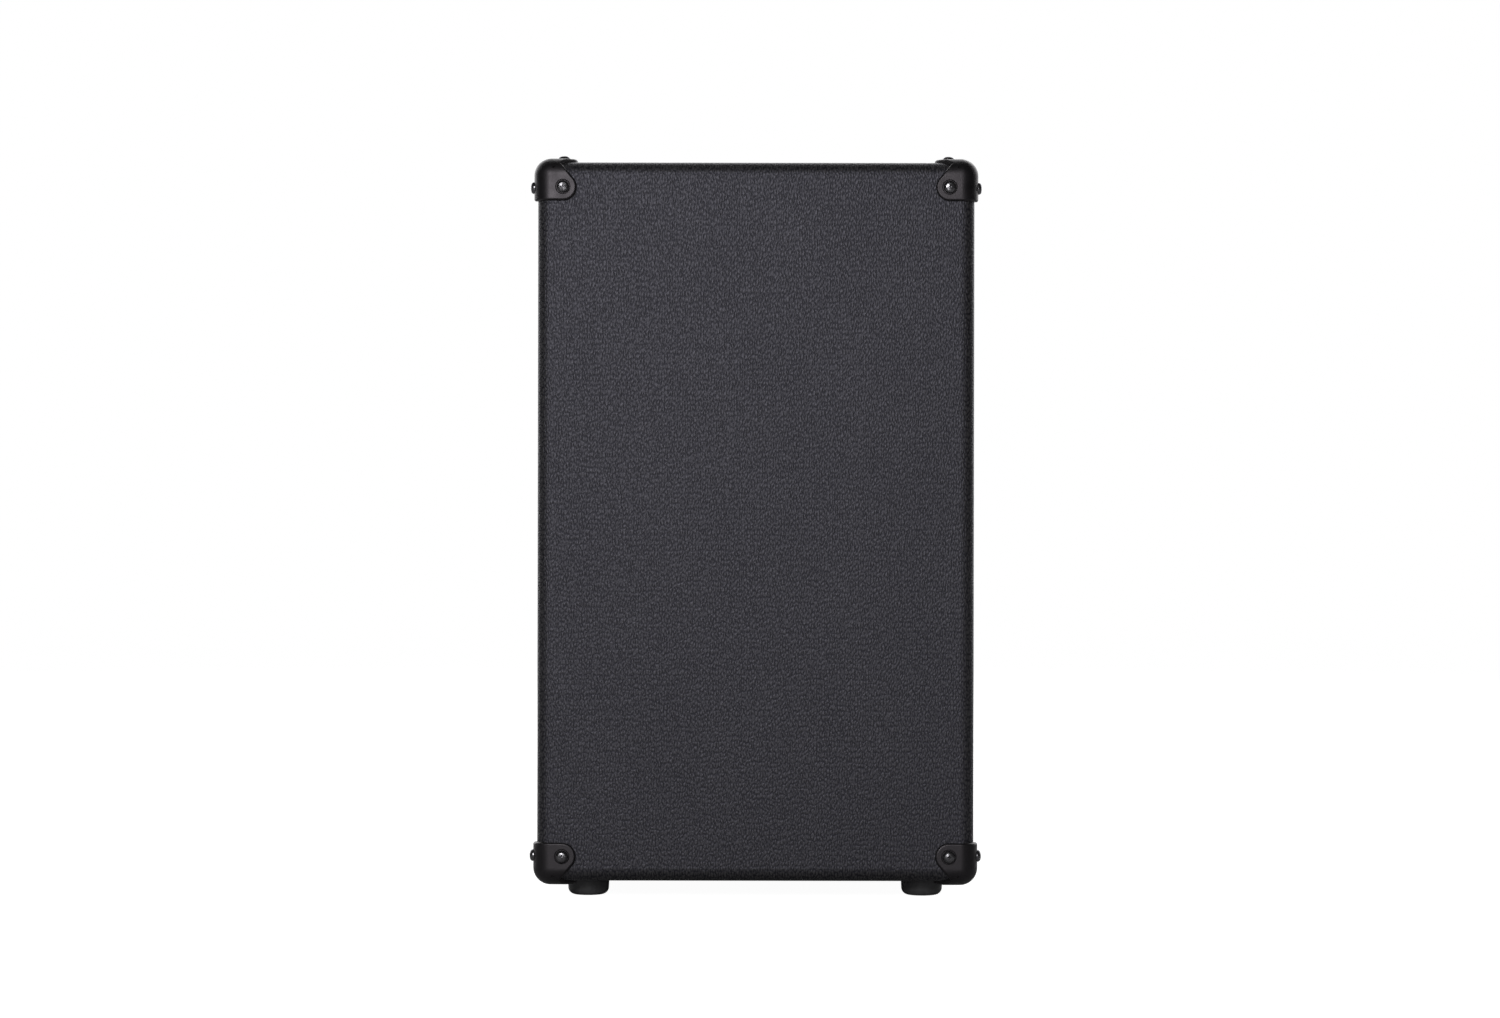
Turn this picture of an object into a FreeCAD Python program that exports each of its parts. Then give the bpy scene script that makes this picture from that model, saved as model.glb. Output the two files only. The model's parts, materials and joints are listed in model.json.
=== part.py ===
import FreeCAD, Part
import math
import os

from FreeCAD import Placement, Rotation, Vector

# A closed guitar speaker cabinet for one twelve-inch loudspeaker.
# Millimetres, +Z up, the grille faces -Y, and the feet stand on Z = 0.

# Covered carcass
cab_width = 580.0
cab_depth = 305.0
cab_height = 502.0
edge_radius = 9.5
lip_radius = 2.0
panel = 18.0
vinyl = 0.8
glue_line = 0.1
finger_count = 15
cleat = 20.0
fit_gap = 0.5

# Front
grille_recess = 8.0
cloth = 0.8
rail_width = 30.0
rail_depth = 12.0
piping = 3.6
piping_play = 0.2
pad_length = 40.0
pad_width = 20.0
pad_thickness = 2.0
baffle = 18.0

# Back
back_recess = 4.0
back_board = 12.0
back_gap = 1.0

# Moulded corner protectors, measured from their three outer planes
corner_wall = 2.5
corner_seat = 0.2
corner_screw = 20.5
lobe_radius = 9.5
fold_reach = 15.5
corner_rim = 1.5
dish_radius = 5.3
dish_depth = 0.6
gate_mark = (14.0, 6.5)
gate_mark_radius = 1.1
gate_mark_depth = 1.1

# Screws
head_radius = 4.35
head_height = 3.2
head_crown = 11.0
shank_radius = 2.0
shank_play = 0.1
corner_screw_length = 16.0
rear_screw_length = 30.0
cup_screw_length = 16.0
washer_radius = 7.5
washer_height = 2.0
tee_flange = 1.2
tee_radius = 8.0
tee_barrel = 3.8
tee_depth = 9.0

# Feet
foot_radius = 14.8
foot_height = 13.0
foot_taper = 0.4
foot_edge = 5.0
foot_from_front = 34.5
foot_from_side = 45.0
foot_recess_radius = 6.8
foot_recess = 7.0
foot_washer_radius = 6.3
foot_washer = 1.2
foot_screw_length = 22.0

# Strap handle
handle_span = 210.0
strap_width = 26.0
strap_thickness = 5.5
strap_lift = 4.0
strap_gap = 0.3
strap_rise_angle = 16.0
strap_blend_radius = 50.0
strap_slot = 7.0
cap_length = 40.0
cap_wall = 2.4
cap_round = 5.0

# Loudspeaker, depths from the mounting face of its gasket
flange_radius = 154.5
flange_seat = 13.0
bolt_edge = 5.0
surround_seat = 12.5
bolt_count = 8
bolt_radius = 2.4
gasket = 3.0
steel = 1.5
lip_paper = 0.8
surround_rolls = 3
surround_roll = 2.3
cone_lip = 3.0
body_gap = 0.3
cone_paper = 0.9
cone_bow = (0.48, 0.45)
cone_neck_depth = 64.0
cap_seat_radius = 37.0
cap_rise = 15.0
cap_paper = 0.6
former_radius = 22.2
former_wall = 0.3
coil_wall = 0.65
coil_length = 14.0
coil_gap = 0.5
spider_depth = 72.0
spider_rolls = 5
spider_cloth = 0.6
landing_inner = 54.0
landing_outer = 64.0
motor_depth = 91.0
front_plate = 8.0
front_plate_radius = 65.0
magnet = 20.0
magnet_radius = 78.0
magnet_bore = 43.0
back_plate = 9.0
back_plate_radius = 75.0
vent_radius = 9.0
window_count = 6
window_angle = 40.0
window_margin = 12.0
strip_length = 32.0
strip_inner = 58.0
strip_width = 6.0
tab_spacing = 18.0
tab_half_width = 2.4
tab = 0.8
tab_reach = 8.0
tinsel_radius = 0.6

# Jack cup
cup_height = 140.0
cup_mouth = 40.0
cup_floor = 32.0
cup_depth = 24.0
cup_wall = 2.5
cup_flange = 56.0
cup_screws = 50.0
jack_spacing = 26.0
jack_bore = 3.2
bushing_radius = 4.7
bushing_length = 10.5
frame_steel = 1.5
frame_half_width = 8.0
frame_drop = 11.0
frame_reach = 28.0
stack_length = 8.0
stack_height = 5.5
leaf = 0.5
leaf_drop = 6.25
leaf_half_width = 2.5
lug_reach = 5.0
nut_flats = 14.0
nut_height = 2.5
nut_washer = 0.8
wire_radius = 1.3
wire_sag = 28.0
link_sag = 5.0

# Planes and inner sizes that follow
front = -cab_depth / 2
rear = cab_depth / 2
floor = foot_height
roof = foot_height + cab_height
mid_z = (floor + roof) / 2
half_width = cab_width / 2
half_height = cab_height / 2
skin = vinyl + glue_line
wall = skin + panel
lip = wall + skin
cloth_front = front + grille_recess
rail_front = cloth_front + cloth
rail_rear = rail_front + rail_depth
baffle_front = rail_rear + 2 * pad_thickness
baffle_rear = baffle_front + baffle
back_face = rear - back_recess
back_outer = back_face - skin
back_inner = back_outer - back_board
corner_proud = corner_wall + corner_seat
corner_leg = corner_screw + lobe_radius
tongue_screw = corner_proud + skin + panel / 2
tongue_width = tongue_screw + lobe_radius
frame_inset = lip + piping + 2 * piping_play
piping_bend = 0.625 * piping
cut_out_radius = flange_radius - flange_seat
bolt_circle = flange_radius - bolt_edge
surround_outer = flange_radius - surround_seat
cone_rim = surround_outer - 2 * surround_roll * surround_rolls
surround_plane = gasket + lip_paper / 2
neck_radius = former_radius + former_wall + glue_line
cup_z = floor + cup_height
jack_plane = back_face - cup_depth - cup_wall


def box(low, high):
    size = [h - l for l, h in zip(low, high)]
    return Part.makeBox(size[0], size[1], size[2], Vector(*low))


def rod(start, along, radius, length):
    return Part.makeCylinder(radius, length, Vector(*start), Vector(*along))


def flat(u, v):
    return Vector(u, v, 0)


def upright(u, v):
    return Vector(u, 0, v)


def outline(steps, place):
    """A flat face from points; a pair of points is an arc through the first to the second."""
    edges = []
    here = place(*steps[0])
    for step in steps[1:] + steps[:1]:
        curved = isinstance(step[0], tuple)
        end = place(*(step[1] if curved else step))
        if curved:
            edges.append(Part.Arc(here, place(*step[0]), end).toShape())
        elif here.distanceToPoint(end) > 1e-6:
            edges.append(Part.LineSegment(here, end).toShape())
        here = end
    return Part.Face(Part.Wire(edges))


def turned(steps, place=upright, axis=(0, 0, 1), angle=360):
    return outline(steps, place).revolve(Vector(0, 0, 0), Vector(*axis), angle)


def placed(shape, point, outward):
    """A copy whose own +Z points outward from the given point."""
    copy = shape.copy()
    copy.Placement = Placement(Vector(*point), Rotation(Vector(0, 0, 1), Vector(*outward)))
    return copy


def mirrored(shape, across):
    return shape.mirror(Vector(0, 0, mid_z), Vector(*across))


def group(shapes):
    solids = []
    for shape in shapes:
        solids.extend(shape.Solids)
    return Part.makeCompound(solids)


def edges_at(shape, test):
    return [e for e in shape.Edges if test(e.CenterOfMass)]


def near(a, b):
    return abs(a - b) < 1e-3


# Carcass


def rounded_block(inset, radius):
    low = (-half_width + inset, front + inset, floor + inset)
    high = (half_width - inset, rear - inset, roof - inset)
    block = box(low, high)
    return block.makeFillet(radius, block.Edges)


def core(inset, y0, y1):
    """The block between the panels, inset from the outside of the covering."""
    return box((-half_width + inset, y0, floor + inset), (half_width - inset, y1, roof - inset))


def lip_edges(shape, inset, y):
    """The four edges of an opening with this inset, in the plane y."""
    def on_lip(p):
        on_side = near(abs(p.x), half_width - inset) and abs(p.z - mid_z) < half_height - inset
        on_level = near(abs(p.z - mid_z), half_height - inset) and abs(p.x) < half_width - inset
        return near(p.y, y) and (on_side or on_level)
    return edges_at(shape, on_lip)


def carcass_ring():
    ring = rounded_block(skin, edge_radius - skin).cut(core(wall, front, rear))
    rims = lip_edges(ring, wall, front + skin) + lip_edges(ring, wall, rear - skin)
    return ring.makeFillet(lip_radius - skin, rims)


def finger_boxes(sx, sz, first):
    """Every second finger of one corner joint, counted from the front."""
    pitch = (cab_depth - 2 * skin) / finger_count
    x0, x1 = sorted((sx * (half_width - wall), sx * half_width))
    z0, z1 = sorted((mid_z + sz * (half_height - wall), mid_z + sz * half_height))
    boxes = []
    for i in range(first, finger_count, 2):
        y0 = front if i == 0 else front + skin + i * pitch
        y1 = rear if i == finger_count - 1 else front + skin + (i + 1) * pitch
        boxes.append(box((x0, y0, z0), (x1, y1, z1)))
    return boxes


def carcass_panel(ring, region, fingers, holes):
    mask = region.multiFuse(fingers).removeSplitter()
    return ring.common(mask).cut(holes).removeSplitter()


def side_panel(ring, sx, holes):
    x0, x1 = sorted((sx * (half_width - wall), sx * half_width))
    region = box((x0, front, floor + wall), (x1, rear, roof - wall))
    return carcass_panel(ring, region, finger_boxes(sx, 1, 0) + finger_boxes(sx, -1, 0), holes)


def level_panel(ring, sz, holes):
    z0, z1 = sorted((mid_z + sz * (half_height - wall), mid_z + sz * half_height))
    region = box((-half_width + wall, front, z0), (half_width - wall, rear, z1))
    return carcass_panel(ring, region, finger_boxes(-1, sz, 1) + finger_boxes(1, sz, 1), holes)


def vinyl_cover(holes):
    """The vinyl round the carcass, turned in over both lips."""
    cover = rounded_block(0, edge_radius).cut(rounded_block(vinyl, edge_radius - vinyl))
    runs = ((front, baffle_front - fit_gap), (back_inner + fit_gap, rear))
    cover = cover.cut([core(lip, y0, y1) for y0, y1 in runs])
    for y0, y1 in runs:
        cover = cover.fuse(core(lip - vinyl, y0, y1).cut(core(lip, y0, y1)))
    cover = cover.removeSplitter()
    rims = lip_edges(cover, lip, front) + lip_edges(cover, lip, rear)
    cover = cover.makeFillet(lip_radius, rims)
    inner = lip_edges(cover, lip - vinyl, front + vinyl) + lip_edges(cover, lip - vinyl, rear - vinyl)
    cover = cover.makeFillet(lip_radius - vinyl, inner)
    return cover.cut(holes)


def cleat_frame(y0, y1, holes):
    """Four square battens glued round the inside."""
    outer, inner = wall, wall + cleat
    x, x_in = half_width - outer, half_width - inner
    low, high = floor + outer, roof - outer
    bars = [box((-x, y0, low), (x, y1, low + cleat)), box((-x, y0, high - cleat), (x, y1, high))]
    for x0, x1 in ((-x, -x_in), (x_in, x)):
        bars.append(box((x0, y0, low + cleat), (x1, y1, high - cleat)))
    return group([bar.cut(holes) for bar in bars])


def baffle_board(holes):
    board = core(wall + fit_gap, baffle_front, baffle_rear)
    opening = rod((0, baffle_front, mid_z), (0, 1, 0), cut_out_radius, baffle)
    board = board.cut(opening)
    rim = edges_at(board, lambda p: near(p.y, baffle_front) and abs(p.x) < 1 and abs(p.z - mid_z) < 1)
    return board.makeFillet(baffle / 6, rim).cut(holes)


def back_panel(inset, y0, y1, holes):
    return core(inset, y0, y1).cut(holes)


def back_vinyl(holes):
    """The vinyl on the outer face and the edges of the back panel."""
    inset = lip + back_gap
    inside = core(inset + vinyl, back_inner, back_face - vinyl)
    return core(inset, back_inner, back_face).cut(inside).cut(holes)


# Front grille


def grille_frame():
    x, z = half_width - frame_inset, half_height - frame_inset
    bars = []
    for sz in (-1, 1):
        z0, z1 = sorted((mid_z + sz * (z - rail_width), mid_z + sz * z))
        bars.append(box((-x, rail_front, z0), (x, rail_rear, z1)))
    for sx in (-1, 1):
        x0, x1 = sorted((sx * (x - rail_width), sx * x))
        bars.append(box((x0, rail_front, mid_z - z + rail_width), (x1, rail_rear, mid_z + z - rail_width)))
    return group(bars)


def grille_cloth():
    return core(frame_inset, cloth_front, rail_front)


def piping_ring():
    """A round welt in the gap between the frame and the lip."""
    inset = lip + piping_play + piping / 2
    x, z, y = half_width - inset, half_height - inset, cloth_front + piping / 2
    pieces = []
    for sx in (-1, 1):
        along_z = 2 * (z - piping_bend)
        pieces.append(rod((sx * x, y, mid_z - z + piping_bend), (0, 0, 1), piping / 2, along_z))
    for sz in (-1, 1):
        along_x = 2 * (x - piping_bend)
        pieces.append(rod((-x + piping_bend, y, mid_z + sz * z), (1, 0, 0), piping / 2, along_x))
    for sx, sz, turn in ((1, 1, 0), (-1, 1, 90), (-1, -1, 180), (1, -1, 270)):
        circle = Part.Wire(Part.makeCircle(piping / 2, Vector(piping_bend, 0, 0), Vector(0, 0, 1)))
        bend = Part.Face(circle).revolve(Vector(0, 0, 0), Vector(0, -1, 0), 90)
        bend = bend.rotated(Vector(0, 0, 0), Vector(0, -1, 0), turn)
        pieces.append(bend.translated(Vector(sx * (x - piping_bend), y, mid_z + sz * (z - piping_bend))))
    return pieces[0].multiFuse(pieces[1:]).removeSplitter()


def pad_places():
    x = half_width - frame_inset - rail_width / 2
    z = half_height - frame_inset - rail_width / 2
    places = [(sx * x / 2, mid_z + sz * z, True) for sx in (-1, 1) for sz in (-1, 1)]
    return places + [(sx * x, mid_z, False) for sx in (-1, 1)]


def hook_and_loop_pads():
    pads = []
    for x, z, level in pad_places():
        dx, dz = (pad_length / 2, pad_width / 2) if level else (pad_width / 2, pad_length / 2)
        for y in (rail_rear, rail_rear + pad_thickness):
            pads.append(box((x - dx, y, z - dz), (x + dx, y + pad_thickness, z + dz)))
    return group(pads)


# Corner protectors


def corner_block(start, radius):
    """A cube with its three edges at one corner rounded, and the corner itself a sphere."""
    end = 2 * corner_leg
    cube = box((start, start, start), (end, end, end))
    tip = Vector(start, start, start)
    meeting = [e for e in cube.Edges if min(v.Point.distanceToPoint(tip) for v in e.Vertexes) < 1e-6]
    return cube.makeFillet(radius, meeting)


def around(centre, radius, angle):
    return (centre[0] + radius * math.cos(angle), centre[1] + radius * math.sin(angle))


def tangent_angle(point, centre, radius, side):
    """Where the line from the point touches the circle, as an angle round its centre."""
    dx, dy = point[0] - centre[0], point[1] - centre[1]
    return math.atan2(dy, dx) + side * math.acos(radius / math.hypot(dx, dy))


def extended(start, end, v):
    """The point on the line through start and end at the given second coordinate."""
    share = (v - end[1]) / (start[1] - end[1])
    return (end[0] + share * (start[0] - end[0]), v)


def corner_faces():
    """The three outlines that are kept, each flat on its own face."""
    out = -1.0
    middle = (corner_screw, corner_screw)
    low = tangent_angle((fold_reach, 0), middle, lobe_radius, 1)
    touch = around(middle, lobe_radius, low)
    fold = extended((fold_reach, 0), touch, out)
    mid = around(middle, lobe_radius, (low + math.pi / 2) / 2)
    bottom = (corner_screw, corner_leg)
    side = [(out, out), fold, touch, (mid, bottom), (out, corner_leg)]

    # The mitre plane meets the wall's inner face at this depth below both outer planes.
    mitre_depth = corner_wall + (edge_radius + corner_seat) * (1 - math.sqrt(0.5))
    notch = (tongue_width, mitre_depth + 2 * corner_rim)
    high = tangent_angle(notch, middle, lobe_radius, 1)
    touch_2 = around(middle, lobe_radius, high)
    fold_2 = extended(notch, touch_2, out)
    swapped = math.pi / 2 - low
    mid = around(middle, lobe_radius, (high + swapped) / 2)
    end = around(middle, lobe_radius, swapped)
    top = [(out, out), fold_2, touch_2, (mid, end), (fold[1], fold[0])]

    centre = (tongue_screw, corner_screw)
    mid = around(centre, lobe_radius, math.pi / 4)
    tongue = [(out, out), fold_2, notch, (tongue_width, corner_screw), (mid, (tongue_screw, corner_leg)),
              (out, corner_leg)]
    return side, top, tongue


def facing_wedge(place, depth, reach):
    """The points that lie nearer to one outer face than to the other two."""
    wires = []
    for w in (-1, depth):
        ends = [(w, w), (reach, w), (reach, reach), (w, reach), (w, w)]
        wires.append(Part.makePolygon([place(u, v, w) for u, v in ends]))
    return Part.makeLoft(wires, True, True)


def corner_protector(flush):
    """One corner in its own frame: x from the side, y from the front, z from the level face.

    Where flush is true, the level face has a countersink in place of a dish.
    """
    outer_radius = edge_radius + corner_seat + corner_wall
    shell = corner_block(0, outer_radius).cut(corner_block(corner_wall, edge_radius + corner_seat))
    side, top, tongue = corner_faces()
    reach = 3 * corner_leg
    depth = outer_radius + corner_wall
    for steps, place in (
        (side, lambda u, v, w: Vector(w, u, v)),
        (top, lambda u, v, w: Vector(u, v, w)),
        (tongue, lambda u, v, w: Vector(u, w, v)),
    ):
        kept = outline(steps, lambda u, v: place(u, v, -1)).extrude(place(0, 0, depth + 2))
        shell = shell.cut(facing_wedge(place, depth, reach).cut(kept))
    rims = [e for e in shell.Edges if rim_edge(e, outer_radius)]
    shell = shell.makeFillet(corner_rim, rims)
    cutters = []
    bore = shank_radius + shank_play
    for point, into in corner_screw_seats():
        cutters.append(Part.makeCylinder(bore, corner_wall + 1, point, into))
        if flush and into.z > 0:
            cutters.append(Part.makeCone(head_radius + shank_play, bore, countersink(), point, into))
        else:
            cutters.append(Part.makeCone(dish_radius, dish_radius - dish_depth, dish_depth, point, into))
    mark = Vector(-1, *gate_mark)
    sunk = outer_radius - math.sqrt(outer_radius ** 2 - (outer_radius - gate_mark[1]) ** 2)
    into = Vector(1, 0, 0)
    cutters.append(Part.makeCylinder(gate_mark_radius, 1 + sunk, mark, into))
    cutters.append(Part.makeCone(gate_mark_radius, 0, gate_mark_depth, mark + into * (1 + sunk), into))
    return shell.cut(cutters)


def rim_edge(edge, outer_radius):
    """True for an edge of the outline that lies on the outer surface."""
    for v in edge.Vertexes + [Part.Vertex(edge.valueAt((edge.FirstParameter + edge.LastParameter) / 2))]:
        away = [max(outer_radius - p, 0) for p in v.Point]
        if abs(Vector(*away).Length - outer_radius) > 1e-3:
            return False
    return edge.Length > 0


def corner_screw_seats():
    """Each screw's place on the outer face and its direction, in the corner's own frame."""
    s = corner_screw
    return (
        (Vector(0, s, s), Vector(1, 0, 0)),
        (Vector(s, s, 0), Vector(0, 0, 1)),
        (Vector(tongue_screw, 0, s), Vector(0, 1, 0)),
    )


def corner_signs():
    return [(sx, sy, sz) for sx in (-1, 1) for sy in (-1, 1) for sz in (-1, 1)]


def corner_name(sx, sy, sz):
    side = "left" if sx < 0 else "right"
    end = "front" if sy < 0 else "rear"
    level = "bottom" if sz < 0 else "top"
    return f"corner_{end}_{side}_{level}"


def corner_point(local, signs):
    """A point of the corner's own frame, carried to the cabinet corner with these signs."""
    x = signs[0] * (half_width + corner_proud - local.x)
    y = signs[1] * (cab_depth / 2 + corner_proud - local.y)
    z = mid_z + signs[2] * (half_height + corner_proud - local.z)
    return Vector(x, y, z)


def corner_set():
    base = Vector(-half_width - corner_proud, front - corner_proud, floor - corner_proud)
    top_kind, bottom_kind = (corner_protector(flush).translated(base) for flush in (False, True))
    corners = {}
    for sx, sy, sz in corner_signs():
        shape = top_kind if sz > 0 else bottom_kind
        for sign, across in ((sx, (1, 0, 0)), (sy, (0, 1, 0)), (sz, (0, 0, 1))):
            if sign > 0:
                shape = mirrored(shape, across)
        corners[corner_name(sx, sy, sz)] = shape
    return corners


def corner_screw_places(flush):
    """Seat and outward direction of the screws flush with the underside, or of all the others."""
    places = []
    sunk = 0 if flush else dish_depth
    for signs in corner_signs():
        for point, into in corner_screw_seats():
            if (signs[2] < 0 and into.z > 0) != flush:
                continue
            seat = corner_point(point + into * sunk, signs)
            outward = Vector(*(s * c for s, c in zip(signs, into)))
            places.append((seat, outward))
    return places


# Screws, nuts and feet


def dome(radius, rise, base):
    """An arc from the top centre of a dome down to its rim, as an outline step."""
    ball = (radius ** 2 + rise ** 2) / (2 * rise)
    half = radius / 2
    mid = (half, base + rise - ball + math.copysign(math.sqrt(ball ** 2 - half ** 2), rise))
    return (mid, (radius, base))


def cross_recess(top, depth):
    """Two crossed wedges that come to an edge at the bottom of the recess."""
    reach = head_radius * 0.38
    thin = head_radius * 0.09
    arm = outline([(-reach, top), (reach, top), (0, top - depth)], upright)
    arm = arm.extrude(Vector(0, 2 * thin, 0)).translated(Vector(0, -thin, 0))
    return [arm, arm.rotated(Vector(0, 0, 0), Vector(0, 0, 1), 90)]


def pan_screw(length):
    """Low crowned head above Z = 0 with a round shoulder and a cross recess, pointed shank below."""
    part = 0.6 * head_radius
    slope = math.asin(part / head_crown)
    crown = [(head_crown * math.sin(s), head_height - head_crown * (1 - math.cos(s)))
             for s in (slope / 2, slope)]
    shoulder = (head_radius - part) / (1 - math.sin(slope))
    rim = crown[1][1] - shoulder * math.cos(slope)
    half = (slope + math.pi / 2) / 2
    mid = (head_radius - shoulder * (1 - math.sin(half)), rim + shoulder * math.cos(half))
    tip = 2 * shank_radius
    body = turned([
        (0, head_height), tuple(crown), (mid, (head_radius, rim)), (head_radius, 0), (shank_radius, 0),
        (shank_radius, tip - length), (0, -length),
    ])
    return body.cut(cross_recess(head_height, head_height * 0.45))


def countersink():
    """How deep a countersunk head goes."""
    return head_radius - shank_radius


def flush_screw(length):
    """Countersunk head with its flat top at Z = 0 and a cross recess, pointed shank below."""
    tip = 2 * shank_radius
    body = turned([
        (0, 0), (head_radius, 0), (shank_radius, -countersink()), (shank_radius, tip - length),
        (0, -length),
    ])
    return body.cut(cross_recess(0, countersink() * 0.7))


def screw_holes(places, length):
    radius = shank_radius + shank_play
    return [Part.makeCylinder(radius, length + head_height, p + o * head_height, -o) for p, o in places]


def screws(one, places):
    return group([placed(one, p, o) for p, o in places])


def corner_screws():
    pan = screws(pan_screw(corner_screw_length), corner_screw_places(False))
    flush = screws(flush_screw(corner_screw_length), corner_screw_places(True))
    return group([pan, flush])


def foot_places():
    x, y = half_width - foot_from_side, cab_depth / 2 - foot_from_front
    return {
        f"foot_{'front' if sy < 0 else 'rear'}_{'left' if sx < 0 else 'right'}": Vector(sx * x, sy * y, 0)
        for sx in (-1, 1) for sy in (-1, 1)
    }


def foot():
    bore = shank_radius + shank_play
    flat_radius = foot_radius - foot_taper - foot_edge
    corner = foot_edge * (1 - math.sqrt(0.5))
    edge = ((foot_radius - foot_taper - corner, corner), (foot_radius - foot_taper, foot_edge))
    return turned([
        (bore, foot_recess), (foot_recess_radius, foot_recess), (foot_recess_radius, 0), (flat_radius, 0),
        edge, (foot_radius, foot_height), (bore, foot_height),
    ])


def foot_seats():
    """Where the foot screws' heads sit, under the washers."""
    up = Vector(0, 0, foot_recess - foot_washer)
    return [(p + up, Vector(0, 0, -1)) for p in foot_places().values()]


def foot_washers():
    bore = shank_radius + shank_play
    ring = rod((0, 0, 0), (0, 0, 1), foot_washer_radius, foot_washer)
    ring = ring.cut(rod((0, 0, 0), (0, 0, 1), bore, foot_washer))
    return group([ring.translated(p) for p, _ in foot_seats()])


def rear_screw_places():
    """Screws through the back panel into the middle of the rear cleats."""
    x = half_width - wall - cleat / 2
    z = half_height - wall - cleat / 2
    out = Vector(0, 1, 0)
    level = [(sx * x, sz * z) for sx in (-1, 0, 1) for sz in (-1, 1)]
    spots = level + [(sx * x, sz * z / 3) for sx in (-1, 1) for sz in (-1, 1)]
    return [(Vector(px, back_face + washer_height, mid_z + pz), out) for px, pz in spots]


def cup_screw_places():
    reach = cup_screws * math.sqrt(0.5)
    seat = back_face + cup_wall
    return [(Vector(a * reach, seat, cup_z + b * reach), Vector(0, 1, 0)) for a in (-1, 1) for b in (-1, 1)]


def rear_washers():
    """Dished washers between the back panel and its screw heads."""
    bore = shank_radius + shank_play
    ring = turned([
        (bore, 0), (washer_radius, 0), (washer_radius, washer_height * 0.3),
        (head_radius + 0.5, washer_height), (bore, washer_height),
    ])
    down = Vector(0, washer_height, 0)
    return group([placed(ring, p - down, o) for p, o in rear_screw_places()])


# Strap handle


def handle_places():
    return [Vector(sx * handle_span / 2, 0, roof) for sx in (-1, 1)]


def strap_end():
    """Half the length of the strap, up to its flat ends under the caps."""
    return handle_span / 2 + cap_length / 2 - cap_wall - strap_lift


def strap_edge(offset):
    """The strap's long edge at a distance above its middle line, from left to right."""
    turn = math.radians(strap_rise_angle)
    mouth = handle_span / 2 - cap_length / 2 - cap_wall
    small = strap_blend_radius
    large = (mouth - small * math.sin(turn)) / math.sin(turn)
    base = roof + strap_gap + strap_thickness / 2
    top = base + (small + large) * (1 - math.cos(turn))
    r_small, r_large = small - offset, large + offset
    end = strap_end()

    def low(angle):
        return (mouth - r_small * math.sin(angle), base + small - r_small * math.cos(angle))

    def high(angle):
        return (r_large * math.sin(angle), top - large + r_large * math.cos(angle))

    right = [(end, base + offset), low(0), (low(turn / 2), low(turn))]
    middle = (high(0), high(-turn))
    flip = [(-x, z) for x, z in (low(turn / 2), low(0), (end, base + offset))]
    return right + [middle, (flip[0], flip[1]), flip[2]]


def reversed_steps(steps):
    """The same chain of points and arcs, walked from its other end."""
    ends = [s[1] if isinstance(s[0], tuple) else s for s in steps]
    back = [ends[-1]]
    for i in range(len(steps) - 1, 0, -1):
        curved = isinstance(steps[i][0], tuple)
        back.append((steps[i][0], ends[i - 1]) if curved else ends[i - 1])
    return back


def handle_strap():
    upper = strap_edge(strap_thickness / 2)
    lower = reversed_steps(strap_edge(-strap_thickness / 2))
    strap = outline(upper + lower, upright).extrude(Vector(0, strap_width, 0))
    strap = strap.translated(Vector(0, -strap_width / 2, 0))
    long_edges = [e for e in strap.Edges if near(abs(e.CenterOfMass.y), strap_width / 2)
                  and abs(e.tangentAt(e.FirstParameter).x) > 0.5]
    strap = strap.makeFillet(strap_thickness * 0.4, long_edges)
    slots = []
    half, above = strap_slot / 2, roof + 2 * strap_thickness
    for p in handle_places():
        slots.append(box((p.x - strap_slot, -half, roof), (p.x + strap_slot, half, above)))
    return strap.cut(slots)


def cap_cavity():
    return strap_gap + strap_thickness + strap_lift + strap_gap


def handle_cap(sx):
    """A moulded end cap, open towards the strap, that lets the strap end rise."""
    centre = sx * handle_span / 2
    outer_x = centre + sx * cap_length / 2
    inner_x = centre - sx * cap_length / 2
    half = strap_width / 2 + 2 * fit_gap + cap_wall
    height = cap_cavity() + cap_wall
    x0, x1 = sorted((inner_x, outer_x))
    body = box((x0, -half, roof), (x1, half, roof + height))
    upright_edges = edges_at(body, lambda p: near(p.x, outer_x) and near(abs(p.y), half))
    body = body.makeFillet(2 * cap_round, upright_edges)
    crown = edges_at(body, lambda p: near(p.z, roof + height) and not near(p.x, inner_x))
    body = body.makeFillet(cap_round, crown)
    room = half - cap_wall
    x0, x1 = sorted((inner_x, outer_x - sx * cap_wall))
    cavity = box((x0, -room, roof), (x1, room, roof + cap_cavity()))
    blind = edges_at(cavity, lambda p: near(p.x, outer_x - sx * cap_wall) and near(abs(p.y), room))
    cavity = cavity.makeFillet(2 * cap_round - cap_wall, blind)
    bore = rod((centre, 0, roof), (0, 0, 1), shank_radius + shank_play, height)
    return body.cut([cavity, bore])


def handle_screw_places():
    up = Vector(0, 0, cap_cavity() + cap_wall)
    return [(p + up, Vector(0, 0, 1)) for p in handle_places()]


def handle_screw_length():
    return cap_cavity() + cap_wall + wall + tee_flange


def tee_nut(bore):
    """A flange with a barrel that rises into the wood along +Z, bored for its bolt."""
    return turned([
        (bore, -tee_flange), (tee_radius, -tee_flange), (tee_radius, 0), (tee_barrel, 0),
        (tee_barrel, tee_depth), (bore, tee_depth),
    ])


def bolt_places():
    places = []
    for i in range(bolt_count):
        angle = math.radians((i + 0.5) * 360 / bolt_count)
        places.append((bolt_circle * math.cos(angle), mid_z + bolt_circle * math.sin(angle)))
    return places


def tee_nuts():
    bolt_nut, handle_nut = tee_nut(bolt_radius + shank_play), tee_nut(shank_radius + shank_play)
    nuts = [placed(bolt_nut, (x, baffle_front, z), (0, 1, 0)) for x, z in bolt_places()]
    under = Vector(0, 0, -wall)
    nuts += [placed(handle_nut, p + under, (0, 0, 1)) for p in handle_places()]
    return group(nuts)


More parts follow.
